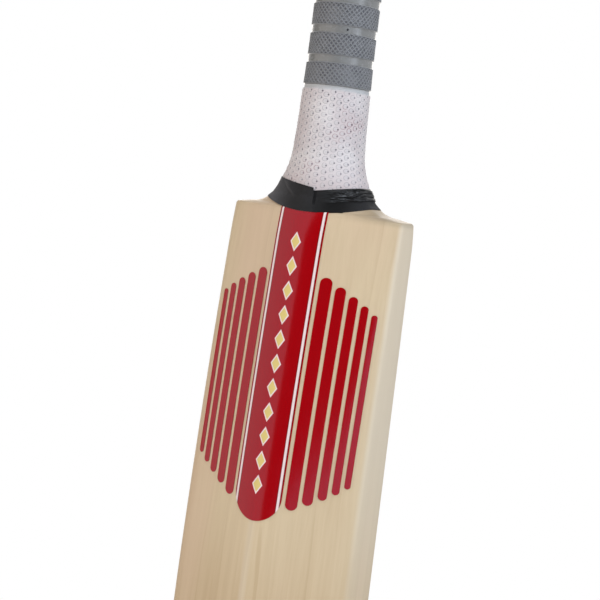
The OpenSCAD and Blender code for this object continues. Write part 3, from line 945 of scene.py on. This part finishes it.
class BAT_OT_blade(bpy.types.Operator):
    """Carves the willow blade with its spine, edges, shoulders and splice socket"""
    bl_idname = "bat.blade"
    bl_label = "Willow blade"

    def execute(self, context):
        blade = context.scene.bat.blade
        form = BatForm(blade)
        wood = make_object("willow_blade", *blade_points(form, form.neck_top - blade.glue),
                           willow_finish(blade))
        cutter = splice_prism(form, blade)
        cut = wood.modifiers.new("splice", "BOOLEAN")
        cut.operation, cut.object, cut.solver = "DIFFERENCE", cutter, "EXACT"
        apply_modifiers(wood)
        discard(cutter)
        hand_over(wood, "willow", "blade")
        return {"FINISHED"}


class BAT_OT_handle(bpy.types.Operator):
    """Gives the cane slips, rubber springs and twine of the handle their finishes"""
    bl_idname = "bat.handle"
    bl_label = "Spliced handle"

    def execute(self, context):
        handle = context.scene.bat.handle
        for names, material in ((CANES, cane_finish(handle)), (SPRINGS, spring_finish(handle)),
                                (["binding_twine"], twine_finish(handle))):
            for name in names:
                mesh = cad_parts[name].data
                mesh.materials.clear()
                mesh.materials.append(material)
        return {"FINISHED"}


def pit_tile(name, outline, grip):
    """One pit of the lattice in flat units: ribs at the outline, a shoulder, a sloped wall and a floor."""
    middle = np.mean(outline, 0)
    rings = [[(*(middle + (np.array(p) - middle) * scale), drop * grip.pit) for p in outline]
             for scale, drop in PIT_LEVELS]
    return make_object(name, np.concatenate(rings), cap_faces(len(PIT_LEVELS), len(outline)))


def cap_faces(rings, count, offset=0):
    """Faces of a few rings of points, with the last ring filled."""
    last = offset + count * (rings - 1)
    return quads(rings, count, True, offset) + [list(range(last, last + count))]


def lattice_group(material):
    """Diamond lattice wound round each band of a sleeve: tiles set out flat, then wrapped on the handle."""
    t = Geometry("grip_lattice", {
        "Diamond": "Object", "Edge": "Object", "Cells": "Int", "Rows": "Int", "Cell width": "Float",
        "Cell height": "Float", "Bands": "Int", "Band pitch": "Float", "First band": "Float",
        "Radius": "Float", "Flare": "Float", "Flare top": "Float", "Pit": "Float"})
    given, weld = t.given, 0.02 * MM
    cells, rows, wide, tall = (given[name] for name in ("Cells", "Rows", "Cell width", "Cell height"))

    def spread(name, turn, count, start_x, start_y):
        """Copies of a tile on a grid of cells, from a start that is counted in cells."""
        size_x, size_y = wide * (cells - 1), tall * (count - 1)
        middle = t.vector(wide * start_x + size_x / 2, tall * start_y + size_y / 2, 0.0)
        grid = t.node("MeshGrid", {
            "Size X": size_x, "Size Y": size_y, "Vertices X": cells, "Vertices Y": count})
        moved = t.node("Transform", {"Geometry": grid, "Translation": middle})
        return t.copies(moved, t.mesh_of(name), Rotation=(0, 0, turn))

    band = t.join(spread("Diamond", 0.0, rows, 0.5, 0.5), spread("Diamond", 0.0, rows - 1, 0.0, 1.0),
                  spread("Edge", 0.0, 1, 0.0, 0.0), spread("Edge", math.pi, 1, 0.0, rows))
    places = t.node("MeshLine", {
        "Count": given["Bands"], "Start Location": t.vector(0.0, given["First band"], 0.0),
        "Offset": t.vector(0.0, given["Band pitch"], 0.0)})
    flat = t.node("RealizeInstances", [t.copies(places, band)])
    u, v, h = t.xyz(t.node("InputPosition", []))
    pitted = t.add("GeometryNodeStoreNamedAttribute", {"data_type": "FLOAT", "domain": "POINT"}, {
        "Geometry": flat, "Name": "pit", "Value": -h / given["Pit"]})
    around = u / (wide * cells) * TURN
    radius = given["Radius"] + given["Flare"] * (given["Flare top"] - v).most(0) ** 2 + h
    place = t.vector(radius * around.wave(), -(radius * (around + TURN / 4).wave()), v)
    wrapped = t.node("SetPosition", {"Geometry": pitted, "Position": place})
    welded = t.node("MergeByDistance", {"Geometry": t.join(given["Geometry"], wrapped), "Distance": weld})
    return t.end(t.node("SetMaterial", {"Geometry": welded, "Material": material}))


def arc(centre_r, centre_z, radius, start, end, count=5):
    """Points of a profile's rounded corner, in radius and height, between two angles in degrees."""
    angles = np.radians(np.linspace(start, end, count))
    return [(centre_r + radius * math.cos(a), centre_z + radius * math.sin(a)) for a in angles]


class BAT_OT_grip(bpy.types.Operator):
    """Moulds the rubber grip: smooth grooves, lattice bands, collar and turned-in lip"""
    bl_idname = "bat.grip"
    bl_label = "Rubber grip"

    def execute(self, context):
        grip, blade = context.scene.bat.grip, context.scene.bat.blade
        form = BatForm(blade)
        foot, top = low("grip").z, high("grip").z
        sleeve = self.sleeve(form, grip, foot, top)
        cell_h = (grip.pitch - grip.groove_w - 2 * grip.ease) / grip.rows
        crest = blade.cane_r + grip.bore + grip.wall
        cell_w = TURN * crest / grip.cells
        w, h = cell_w / 2, cell_h / 2
        diamond = pit_tile("diamond_tile", [(w, 0), (0, h), (-w, 0), (0, -h)], grip)
        edge = pit_tile("edge_tile", [(w, 0), (0, h), (-w, 0), (0, 0)], grip)
        flare = (blade.neck_r - blade.cane_r) / (form.flare_top - form.neck_top) ** 2
        use_group(sleeve, lattice_group(grip_finish(grip)), {
            "Diamond": diamond, "Edge": edge, "Cells": grip.cells, "Rows": grip.rows,
            "Cell width": cell_w, "Cell height": cell_h, "Bands": grip.bands, "Band pitch": grip.pitch,
            "First band": foot + grip.ease, "Radius": crest, "Flare": flare, "Flare top": form.flare_top,
            "Pit": grip.pit})
        discard(diamond, edge)
        hand_over(sleeve, "grip_rubber", "grip")
        return {"FINISHED"}

    @classmethod
    def sleeve(cls, form, grip, foot, top):
        """The sleeve without the bands' crests: its profiles turned about the handle's axis."""
        segments = 2 * grip.cells
        turn = np.arange(segments) * TURN / segments
        points, faces, marks = [], [], []
        for run in cls.profiles(form, grip, foot, top):
            r, z = np.array(run, float).T
            rings = np.stack([r[:, None] * np.sin(turn), -r[:, None] * np.cos(turn),
                              np.repeat(z[:, None], segments, 1)], -1)
            faces += quads(len(run), segments, True, len(points))
            points += list(rings.reshape(-1, 3))
            for ring in range(len(run)):
                marks += [0 if ring in (0, len(run) - 1) else -1] * segments
        cls.pip(form, grip, foot, points, faces, marks)
        sleeve = make_object("rubber_grip", points, faces)
        keep_marks(sleeve, "pit", marks)
        return sleeve

    @staticmethod
    def profiles(form, grip, foot, top):
        """A profile for each groove; the last one goes on over the collar and lip and down the bore."""
        def crest(z):
            return form.handle_r(z) + grip.bore + grip.wall

        mould, hollow, lip_edge = 0.35 * MM, 0.05 * MM, 0.5 * MM
        foot_in, foot_up = 0.15 * MM, 0.02 * MM
        runs = []
        for i in range(grip.bands):
            z = foot + i * grip.pitch
            groove, above = z + grip.pitch - grip.groove_w, z + grip.pitch
            floor = np.linspace(groove + mould, above - mould, 3)
            runs.append([(crest(groove - grip.ease), groove - grip.ease),
                         (crest(groove) - grip.groove_d, groove),
                         *[(crest(s) - grip.groove_d - hollow, s) for s in floor],
                         (crest(above) - grip.groove_d, above),
                         (crest(above + grip.ease), above + grip.ease)])
        collar = np.linspace(foot + grip.bands * grip.pitch + 2 * grip.ease, top - grip.lip, 4)
        bore = np.linspace(top - grip.lip, foot, 24)
        runs[-1] += [(crest(top), s) for s in collar]
        runs[-1] += arc(crest(top) - grip.lip, top - grip.lip, grip.lip, 0, 90, 7)[1:]
        runs[-1] += arc(grip.lip_r + lip_edge, top - lip_edge, lip_edge, 90, 180)
        runs[-1] += [(grip.lip_r, top - grip.lip)]
        runs[-1] += [(float(form.handle_r(s)) + grip.bore, s) for s in bore]
        runs[-1] += [(crest(foot) - grip.groove_d, foot), (crest(foot) - foot_in, foot + foot_up),
                     (crest(foot + grip.ease), foot + grip.ease)]
        return runs

    @staticmethod
    def pip(form, grip, foot, points, faces, marks):
        """A small dark moulding pip in the second groove."""
        sunk, count, a = 0.1 * MM, PIP_POINTS, grip.pip_turn
        z = foot + 2 * grip.pitch - grip.groove_w / 2
        r = float(form.handle_r(z)) + grip.bore + grip.wall - grip.groove_d - sunk
        out, up = np.array([math.sin(a), -math.cos(a), 0]), np.array([0, 0, 1])
        along = np.array([math.cos(a), math.sin(a), 0])
        faces.extend(cap_faces(len(PIP_LEVELS), count, len(points)))
        for wide, tall in PIP_LEVELS:
            for turn in np.arange(count) * TURN / count:
                ring = along * math.cos(turn) + up * math.sin(turn)
                points.append(out * r + up * z + grip.pip_r * (wide * ring + tall * out))
        marks.extend([PIP_MARK] * len(PIP_LEVELS) * count)


def wrap_clearance(form, wrap, z, foot, head):
    """Clearances of the wrap's inside and outside from the wood."""
    twine_run, margin_run, hem_thin, margin_thin = 4 * MM, 0.3 * MM, 0.1, 0.6
    inside = wrap.seat + wrap.twine * smooth((z - form.neck_top + twine_run) / twine_run)
    rise = wrap.seat + wrap.lift * smooth((z - form.neck_top) / (head - wrap.margin - form.neck_top))
    full = mix(hem_thin, 1.0, np.clip((z - foot) / wrap.hem, 0, 1))
    margin = smooth((z - head + wrap.margin + margin_run) / margin_run)
    return inside, rise + wrap.thickness * full * mix(1, margin_thin, margin)


def evened(rings, count):
    """Rings with their points at even distances round, starting at the middle of the face."""
    out = []
    for ring in rings:
        loop = np.concatenate([ring, ring[:1]])
        run = np.concatenate([[0], np.cumsum(np.linalg.norm(np.diff(loop, axis=0), axis=1))])
        start = run[len(ring) // 4]
        wanted = (start + np.arange(count) * run[-1] / count) % run[-1]
        out.append(np.stack([np.interp(wanted, run, loop[:, k]) for k in range(3)], -1))
    return np.array(out)


def round_tile(name, radius, shift, relief, levels, count):
    """A low round tile lying flat, with a mark on each point."""
    turn = np.arange(count) * TURN / count
    points = [(radius * part * math.cos(a) + shift, radius * part * math.sin(a), relief * rise)
              for part, rise, _ in levels for a in turn]
    tile = make_object(name, points, cap_faces(len(levels), count))
    keep_marks(tile, "mark", [mark for _, _, mark in levels for _ in turn])
    return tile


def pore_group(skin, dark):
    """A pad and a pore on each point, turned by the point's own angles, joined to the wrap."""
    t = Geometry("wrap_pores", {"Pad": "Object", "Pore": "Object", "Points": "Object"})
    points = t.mesh_of("Points")
    rotation = t.add("FunctionNodeEulerToRotation", inputs=[t.kept("turn", "FLOAT_VECTOR")])
    uneven = t.add("FunctionNodeRandomValue", {"data_type": "FLOAT_VECTOR"}, {
        0: UNEVEN[0], 1: UNEVEN[1], "Seed": SEED})
    pores, pads = (t.copies(points, t.mesh_of(name), Rotation=rotation, Scale=uneven)
                   for name in ("Pore", "Pad"))
    real = t.node("RealizeInstances", [t.join(t.given["Geometry"], pores, pads)])
    # The pores' floors take the dark painted shade.
    inside = t.kept("mark", "FLOAT").math("LESS_THAN", PORE_MARK + 0.1)
    covered = t.node("SetMaterial", {"Geometry": real, "Material": skin})
    return t.end(t.node("SetMaterial", {"Geometry": covered, "Selection": inside, "Material": dark}))


class BAT_OT_wrap(bpy.types.Operator):
    """Winds the perforated wrap round the neck, with its pores and plain margin"""
    bl_idname = "bat.wrap"
    bl_label = "Neck wrap"

    def execute(self, context):
        wrap, form = context.scene.bat.wrap, BatForm(context.scene.bat.blade)
        foot, head = low("neck_wrap").z, high("neck_wrap").z
        margin, fine, bare_foot, bare_head = head - wrap.margin, 1.5, 2.4 * MM, 1.2 * MM
        step = np.linspace(-0.3, 0.3, 4) * MM
        heights = np.unique(np.concatenate([form.heights(foot, head, fine), margin + step]))
        inner, outer = (evened(form.rings(heights, WRAP_POINTS, clearance), 4 * wrap.columns)
                        for clearance in wrap_clearance(form, wrap, heights, foot, head))
        piece = make_object("perforated_wrap", *shell(outer, inner, True))
        points = self.pore_points(wrap, outer, foot + bare_foot, margin - bare_head)
        pad = round_tile("pad_tile", wrap.pad_r, 0, wrap.emboss, PAD_LEVELS, PAD_POINTS)
        pore = round_tile("pore_tile", wrap.pore_r, wrap.pad_r - 0.5 * wrap.pore_r, wrap.emboss,
                          PORE_LEVELS, PORE_POINTS)
        use_group(piece, pore_group(wrap_finish(wrap, foot, margin), pore_shade_finish(wrap)),
                  {"Pad": pad, "Pore": pore, "Points": points})
        discard(pad, pore, points)
        hand_over(piece, "wrap", "neck_wrap")
        return {"FINISHED"}

    @staticmethod
    def pore_points(wrap, outer, foot, head):
        """A point for each pore, in staggered columns, with the angles that lay it on the wrap."""
        count = outer.shape[1]
        step = count // wrap.columns
        heights, small = outer[:, 0, 2], 0.5 * MM

        def at(column, z):
            line = outer[:, column % count]
            return np.array([np.interp(z, heights, line[:, k]) for k in range(3)])

        places, turns = [], []
        for column in range(wrap.columns):
            j = column * step
            z = head - (column % 2) * wrap.row_gap / 2
            while z > foot:
                place = at(j, z)
                up = at(j, z + small) - place
                normal = np.cross(at(j - 1, z) - at(j + 1, z), up)
                normal *= np.sign(normal[:2] @ place[:2]) / np.linalg.norm(normal)
                right = np.cross(up, normal)
                right /= np.linalg.norm(right)
                axes = Matrix(np.stack([right, np.cross(normal, right), normal], 1).tolist())
                places.append(place)
                turns.append(axes.to_euler())
                z -= wrap.row_gap
        points = make_object("pore_points", places, [])
        keep_marks(points, "turn", np.array(turns, np.float32).ravel(), "FLOAT_VECTOR", "vector")
        return points


def tape_clearance(bat, form, z):
    """Clearance of the tape's inside from the wood, which rises onto the wrap."""
    foot, head = low("neck_wrap").z, high("neck_wrap").z
    ramp = 1.6 * MM
    on_wrap = wrap_clearance(form, bat.wrap, np.maximum(z, foot), foot, head)[1] + bat.tape.seat
    return mix(bat.tape.seat, on_wrap, smooth((z - foot + ramp) / ramp))


def crumple(around, v):
    """Sharp ridges and hollows of bunched tape, drawn out round the neck: broad ones and finer ones."""
    def height(a, w):
        return CRUMPLE_TOP - sum(deep * abs(noise.noise((a * along, w * across + a * slant, seed)))
                                 for deep, along, across, slant, seed in CRUMPLES)

    rows = v * np.ones_like(around)
    return np.array([[height(a, w) for a, w in zip(*pair)] for pair in zip(around, rows)])


def bunched(around, v, past_end, right):
    """Folds above a wavy line on the right of the first turn, from none to full height."""
    soft, end_run, flat, brim, brim_drop = 0.05, 5 * MM, 0.3, 0.07, 0.6
    line = 0.42 - 0.04 * np.sin(around * 1.3) + 0.015 * np.sin(around * 9)
    bunch = smooth((v - line) / soft) * smooth(past_end / end_run)
    fold = bunch * mix(flat, 1, crumple(around, v) * smooth((right - 0.2) / 0.5))
    return np.maximum(fold * (1 - brim_drop * smooth((v - 1 + brim) / brim)), 0)


def creased(around, v):
    """One soft slanting crease at the upper left of the second turn."""
    place, slant, wide = math.radians(-38), math.radians(50), math.radians(2.2)
    tall, foot, foot_run, head, head_run = 0.5, 0.4, 0.2, 0.92, 0.1
    bend = place + (head - v) * slant - around
    return tall * np.exp(-(bend / wide) ** 2) * smooth((v - foot) / foot_run) * smooth((1 - v) / head_run)


class BAT_OT_tape(bpy.types.Operator):
    """Winds the black tape over the wrap's foot, with its cut end and bunched folds"""
    bl_idname = "bat.tape"
    bl_label = "Shoulder tape"

    def execute(self, context):
        bat = context.scene.bat
        tape, form = bat.tape, BatForm(bat.blade)
        across = np.sin(np.linspace(math.pi / 2, -math.pi / 2, TAPE_POINTS))
        u = np.concatenate([across[:-1], across[:0:-1]])
        side = np.repeat([1.0, -1.0], TAPE_POINTS - 1)
        left = u * tape.reach < tape.lap_x
        start = int(np.argmax(left & ~np.roll(left, 1)))
        order = [(start + i) % len(u) for i in range(int(left.sum()))]
        first, folds = self.turn(bat, form, u, side, 0)
        second, crease = self.turn(bat, form, u[order], side[order], 1)
        points, faces = as_one([shell(*first, True), shell(*second)])
        slit_foot = bat.blade.length + 3 * MM
        piece = make_object("black_tape", points, faces, tape_finish(tape, slit_foot))
        marks = [part for fold in (folds, crease) for part in (fold.ravel(), np.zeros(fold.size))]
        keep_marks(piece, "fold", np.concatenate(marks))
        hand_over(piece, "tape", "shoulder_tape")
        return {"FINISHED"}

    @staticmethod
    def edges(bat, form, u, layer):
        """Heights of a turn's bowed lower edge and sloping upper edge, and the latter's places across."""
        tape, length = bat.tape, bat.blade.length
        tilt_run, passes, side_x = 20 * MM, 8, bat.blade.shoulder_w / 4
        foot = np.full(len(u), length + tape.foot)
        for _ in range(passes):
            x = np.minimum(np.abs(u) * form.half_width(foot), 0.9 * tape.bow_r)
            bow = tape.bow_r - np.sqrt(tape.bow_r ** 2 - x * x)
            foot = length + tape.foot + bow - tape.tilt * smooth(np.sign(u) * x / tilt_run)
        x = u * form.half_width(np.full(len(u), length + tape.head))
        if layer:
            away = np.clip((tape.lap_x - x) / (tape.lap_x + side_x), 0, 1)
            head = tape.head + tape.lap_step + tape.lap_rise * away
        else:
            head = tape.head + tape.rise * np.clip((x - tape.lap_x) / (side_x - tape.lap_x), 0, 1)
        return foot, length + head, x

    @classmethod
    def turn(cls, bat, form, u, side, layer):
        """Outer and inner points of one turn, from its lower edge to its upper edge, and its folds."""
        tape = bat.tape
        end_run, end_lift, loose, ripple_h, brim, brim_thin = 1.5 * MM, 0.3 * MM, 1.04, 0.05, 0.05, 0.35
        foot, head, x = cls.edges(bat, form, u, layer)
        v = np.linspace(0, 1, TAPE_ROWS)[:, None]
        z = mix(foot[None], head[None], v)
        around = np.arctan2(u, -side * lift(1 - u * u))[None] * np.ones_like(z)
        if layer:
            fold = creased(around, v) * (side < 0)
        else:
            fold = bunched(around, v, x[None] - tape.lap_x, np.clip(u, 0, 1)[None])
        end = np.exp(-np.abs(tape.lap_x - x) / end_run)[None] * smooth((v - 0.3) / 0.3)
        base = tape_clearance(bat, form, z) + layer * (tape.thickness * loose + end_lift * end)
        ripple = np.sin(around * 17 + v * 9 + 2 * np.sin(v * 7)) * np.sin(around * 5 + v * 3)
        thinned = brim_thin * (smooth(1 - v / brim) + smooth(1 - (1 - v) / brim))
        thick = tape.thickness * (1 - thinned + ripple_h * ripple) + tape.fold * fold
        on_face = (side > 0)[None, :, None]
        grids = [np.where(on_face, form.point(1, u[None], z, grow), form.point(-1, u[None], z, grow))
                 for grow in (base + thick, base)]
        return grids, fold


def film_sheet(form, xs, foot, head, rows, film):
    """Closed thin sheet on the back: columns of points from a lower outline to an upper one."""
    v = np.linspace(0, 1, rows)[:, None]
    z = mix(np.asarray(foot)[None], np.asarray(head)[None], v)
    x = np.broadcast_to(xs, z.shape)
    return shell(form.on_back(x, z, film.seat + film.thickness), form.on_back(x, z, film.seat))


def round_end(radius, count):
    """Distances across a strip, and how far its round end draws back at each."""
    across = radius * np.sin(np.linspace(-math.pi / 2, math.pi / 2, count))
    return across, radius - lift(radius ** 2 - across ** 2)


class BAT_OT_films(bpy.types.Operator):
    """Lays the printed films on the back of the blade"""
    bl_idname = "bat.films"
    bl_label = "Printed films"

    def execute(self, context):
        bat = context.scene.bat
        film, form = bat.film, BatForm(bat.blade)
        self.spine(film, bat.tape, form)
        self.stripes(film, form, "left_stripes", "decal_left", -1)
        self.stripes(film, form, "right_stripes", "decal_right", 1)
        return {"FINISHED"}

    @staticmethod
    def spine(film, tape, form):
        """The film along the spine, with a round foot and a head that follows the tape."""
        base = low("decal_centre").z
        xs, end = round_end(film.band_w / 2, SPINE_POINTS)
        edge_z = form.b.length + tape.foot + tape.bow_r
        head = edge_z - np.sqrt((tape.bow_r + film.seat) ** 2 - xs ** 2)
        piece = make_object("spine_film", *film_sheet(form, xs, base + end, head, SPINE_ROWS, film),
                            spine_finish(film, base, float(head.min())))
        hand_over(piece, "film", "decal_centre")

    @staticmethod
    def stripes(film, form, name, node, side):
        """Stripes with round ends beside the spine film, each narrower and shorter than the last."""
        foot, head = low(node).z, high(node).z
        sheets, inner = [], film.band_w / 2 + film.stripe_gap
        for i in range(film.stripes):
            wide, short = film.stripe_w - i * film.stripe_thin, i * film.stripe_step
            offset, end = round_end(wide / 2, STRIPE_POINTS)
            xs = side * (inner + wide / 2 + side * offset)
            sheets.append(film_sheet(form, xs, foot + short + end, head - short - end, STRIPE_ROWS, film))
            inner += wide + film.stripe_gap
        piece = make_object(name, *as_one(sheets), stripe_finish(film))
        hand_over(piece, "film", node)


# Stage

def floor_finish(stage):
    """Pale floor that looks white to the camera and keeps the bat's shadow."""
    p = Paint("studio_floor")
    seen = p.add("ShaderNodeLightPath", out="Is Camera Ray")
    p.set("Specular IOR Level", 0.0)
    p.finish(stage.floor, 0.9)
    plain, veil = Term(p, p.shader.outputs[0]), 0.62
    glow = p.add("ShaderNodeEmission", inputs={"Color": (1, 1, 1), "Strength": 1.2})
    white = p.add("ShaderNodeMixShader", inputs=[veil, plain, glow])
    shown = p.add("ShaderNodeMixShader", inputs=[seen, plain, white])
    p.fill(p.nodes["Material Output"].inputs["Surface"], shown)
    return p.material


def toward(azimuth, elevation):
    """Direction from the bat to a place round it; azimuth counts from the spine side."""
    level = math.cos(elevation)
    return Vector((math.sin(azimuth) * level, -math.cos(azimuth) * level, math.sin(elevation)))


class BAT_OT_stage(bpy.types.Operator):
    """Sets the floor, the soft lamps, the pale surroundings and the camera"""
    bl_idname = "bat.stage"
    bl_label = "Stage"

    def execute(self, context):
        stage = context.scene.bat.stage
        context.scene.view_settings.view_transform = "Standard"
        self.floor(stage)
        self.surroundings(context.scene)
        for lamp in LAMPS:
            self.lamp(context.scene, *lamp)
        self.camera(context.scene, stage)
        return {"FINISHED"}

    @staticmethod
    def floor(stage):
        """A round floor at the foot of the bat."""
        turn = np.arange(FLOOR_POINTS) * TURN / FLOOR_POINTS
        level = np.full(FLOOR_POINTS, CAD_BOX[0].z)
        rim = np.stack([FLOOR_REACH * np.cos(turn), FLOOR_REACH * np.sin(turn), level], -1)
        floor = make_object("floor", rim, [list(range(FLOOR_POINTS))], floor_finish(stage))

    @staticmethod
    def surroundings(scene):
        """White to the camera, white behind the bat in reflections, and a dim grey for other light."""
        world = bpy.data.worlds.new("studio")
        world.use_nodes = True
        scene.world = world
        t = Tree(world.node_tree)
        ray = t.add("ShaderNodeLightPath")
        camera, glossy, clear = t.outputs(ray, "Is Camera Ray", "Is Glossy Ray", "Is Transmission Ray")
        y = t.xyz(t.add("ShaderNodeTexCoord", out="Generated"))[1]
        behind, ambient, least = y.step(0.1, 0.4) * 0.7, 0.36, 0.02
        strength = camera.most((glossy + clear) * behind).most((1 - glossy) * ambient).most(least)
        back = t.nodes["Background"]
        t.fill(back.inputs["Color"], (1, 1, 1))
        t.fill(back.inputs["Strength"], strength)

    @staticmethod
    def lamp(scene, name, azimuth, elevation, roll, distance, wide, tall, power, colour):
        """A soft lamp aimed at the bat's shoulders, rolled about its own axis."""
        away = toward(math.radians(azimuth), math.radians(elevation))
        data = bpy.data.lights.new(name, "AREA")
        data.shape, data.size, data.size_y, data.energy = "RECTANGLE", wide, tall, power
        data.color = srgb(colour)
        lamp = bpy.data.objects.new(name, data)
        lamp.location = LAMP_AIM + away * distance
        turn = away.to_track_quat("Z", "Y").to_matrix() @ Matrix.Rotation(math.radians(roll), 3, "Z")
        lamp.rotation_euler = turn.to_euler()
        lamp.visible_camera = False
        scene.collection.objects.link(lamp)

    @staticmethod
    def camera(scene, stage):
        """The camera at its distance from the aim, rolled so that the bat leans."""
        back = toward(stage.azimuth, stage.elevation)
        level = Vector((math.cos(stage.azimuth), math.sin(stage.azimuth), 0))
        axes = Matrix((level, back.cross(level), back)).transposed()
        data = bpy.data.cameras.new("camera")
        data.lens, data.sensor_width, data.clip_start = stage.lens, SENSOR_W, CLIP_START
        camera = bpy.data.objects.new("camera", data)
        turned = axes @ Matrix.Rotation(stage.roll, 3, "Z")
        place = Vector(stage.aim) + back * stage.distance
        camera.matrix_world = Matrix.Translation(place) @ turned.to_4x4()
        scene.collection.objects.link(camera)
        scene.camera = camera


class BAT_PT_panel(bpy.types.Panel):
    """Lists the bat's pieces and settings"""
    bl_idname = "BAT_PT_panel"
    bl_label = "Cricket bat"
    bl_space_type = "VIEW_3D"
    bl_region_type = "UI"
    bl_category = "Bat"

    def draw(self, context):
        bat = context.scene.bat
        operators = (BAT_OT_blade, BAT_OT_handle, BAT_OT_grip, BAT_OT_wrap, BAT_OT_tape, BAT_OT_films,
                     BAT_OT_stage)
        groups = (bat.blade, bat.handle, bat.grip, bat.wrap, bat.tape, bat.film, bat.stage)
        for operator, group in zip(operators, groups):
            box = self.layout.box()
            box.operator(operator.bl_idname)
            for name in group.__annotations__:
                box.prop(group, name)


CLASSES = (BladeSettings, HandleSettings, GripSettings, WrapSettings, TapeSettings, FilmSettings,
           StageSettings, BatSettings, BAT_OT_blade, BAT_OT_handle, BAT_OT_grip, BAT_OT_wrap, BAT_OT_tape,
           BAT_OT_films, BAT_OT_stage, BAT_PT_panel)


def register():
    for cls in CLASSES:
        bpy.utils.register_class(cls)
    bpy.types.Scene.bat = PointerProperty(type=BatSettings)


def unregister():
    del bpy.types.Scene.bat
    for cls in reversed(CLASSES):
        bpy.utils.unregister_class(cls)


def main():
    register()
    bpy.ops.bat.stage()
    bpy.ops.bat.blade()
    bpy.ops.bat.handle()
    bpy.ops.bat.grip()
    bpy.ops.bat.wrap()
    bpy.ops.bat.tape()
    bpy.ops.bat.films()


if __name__ == "__main__":
    main()
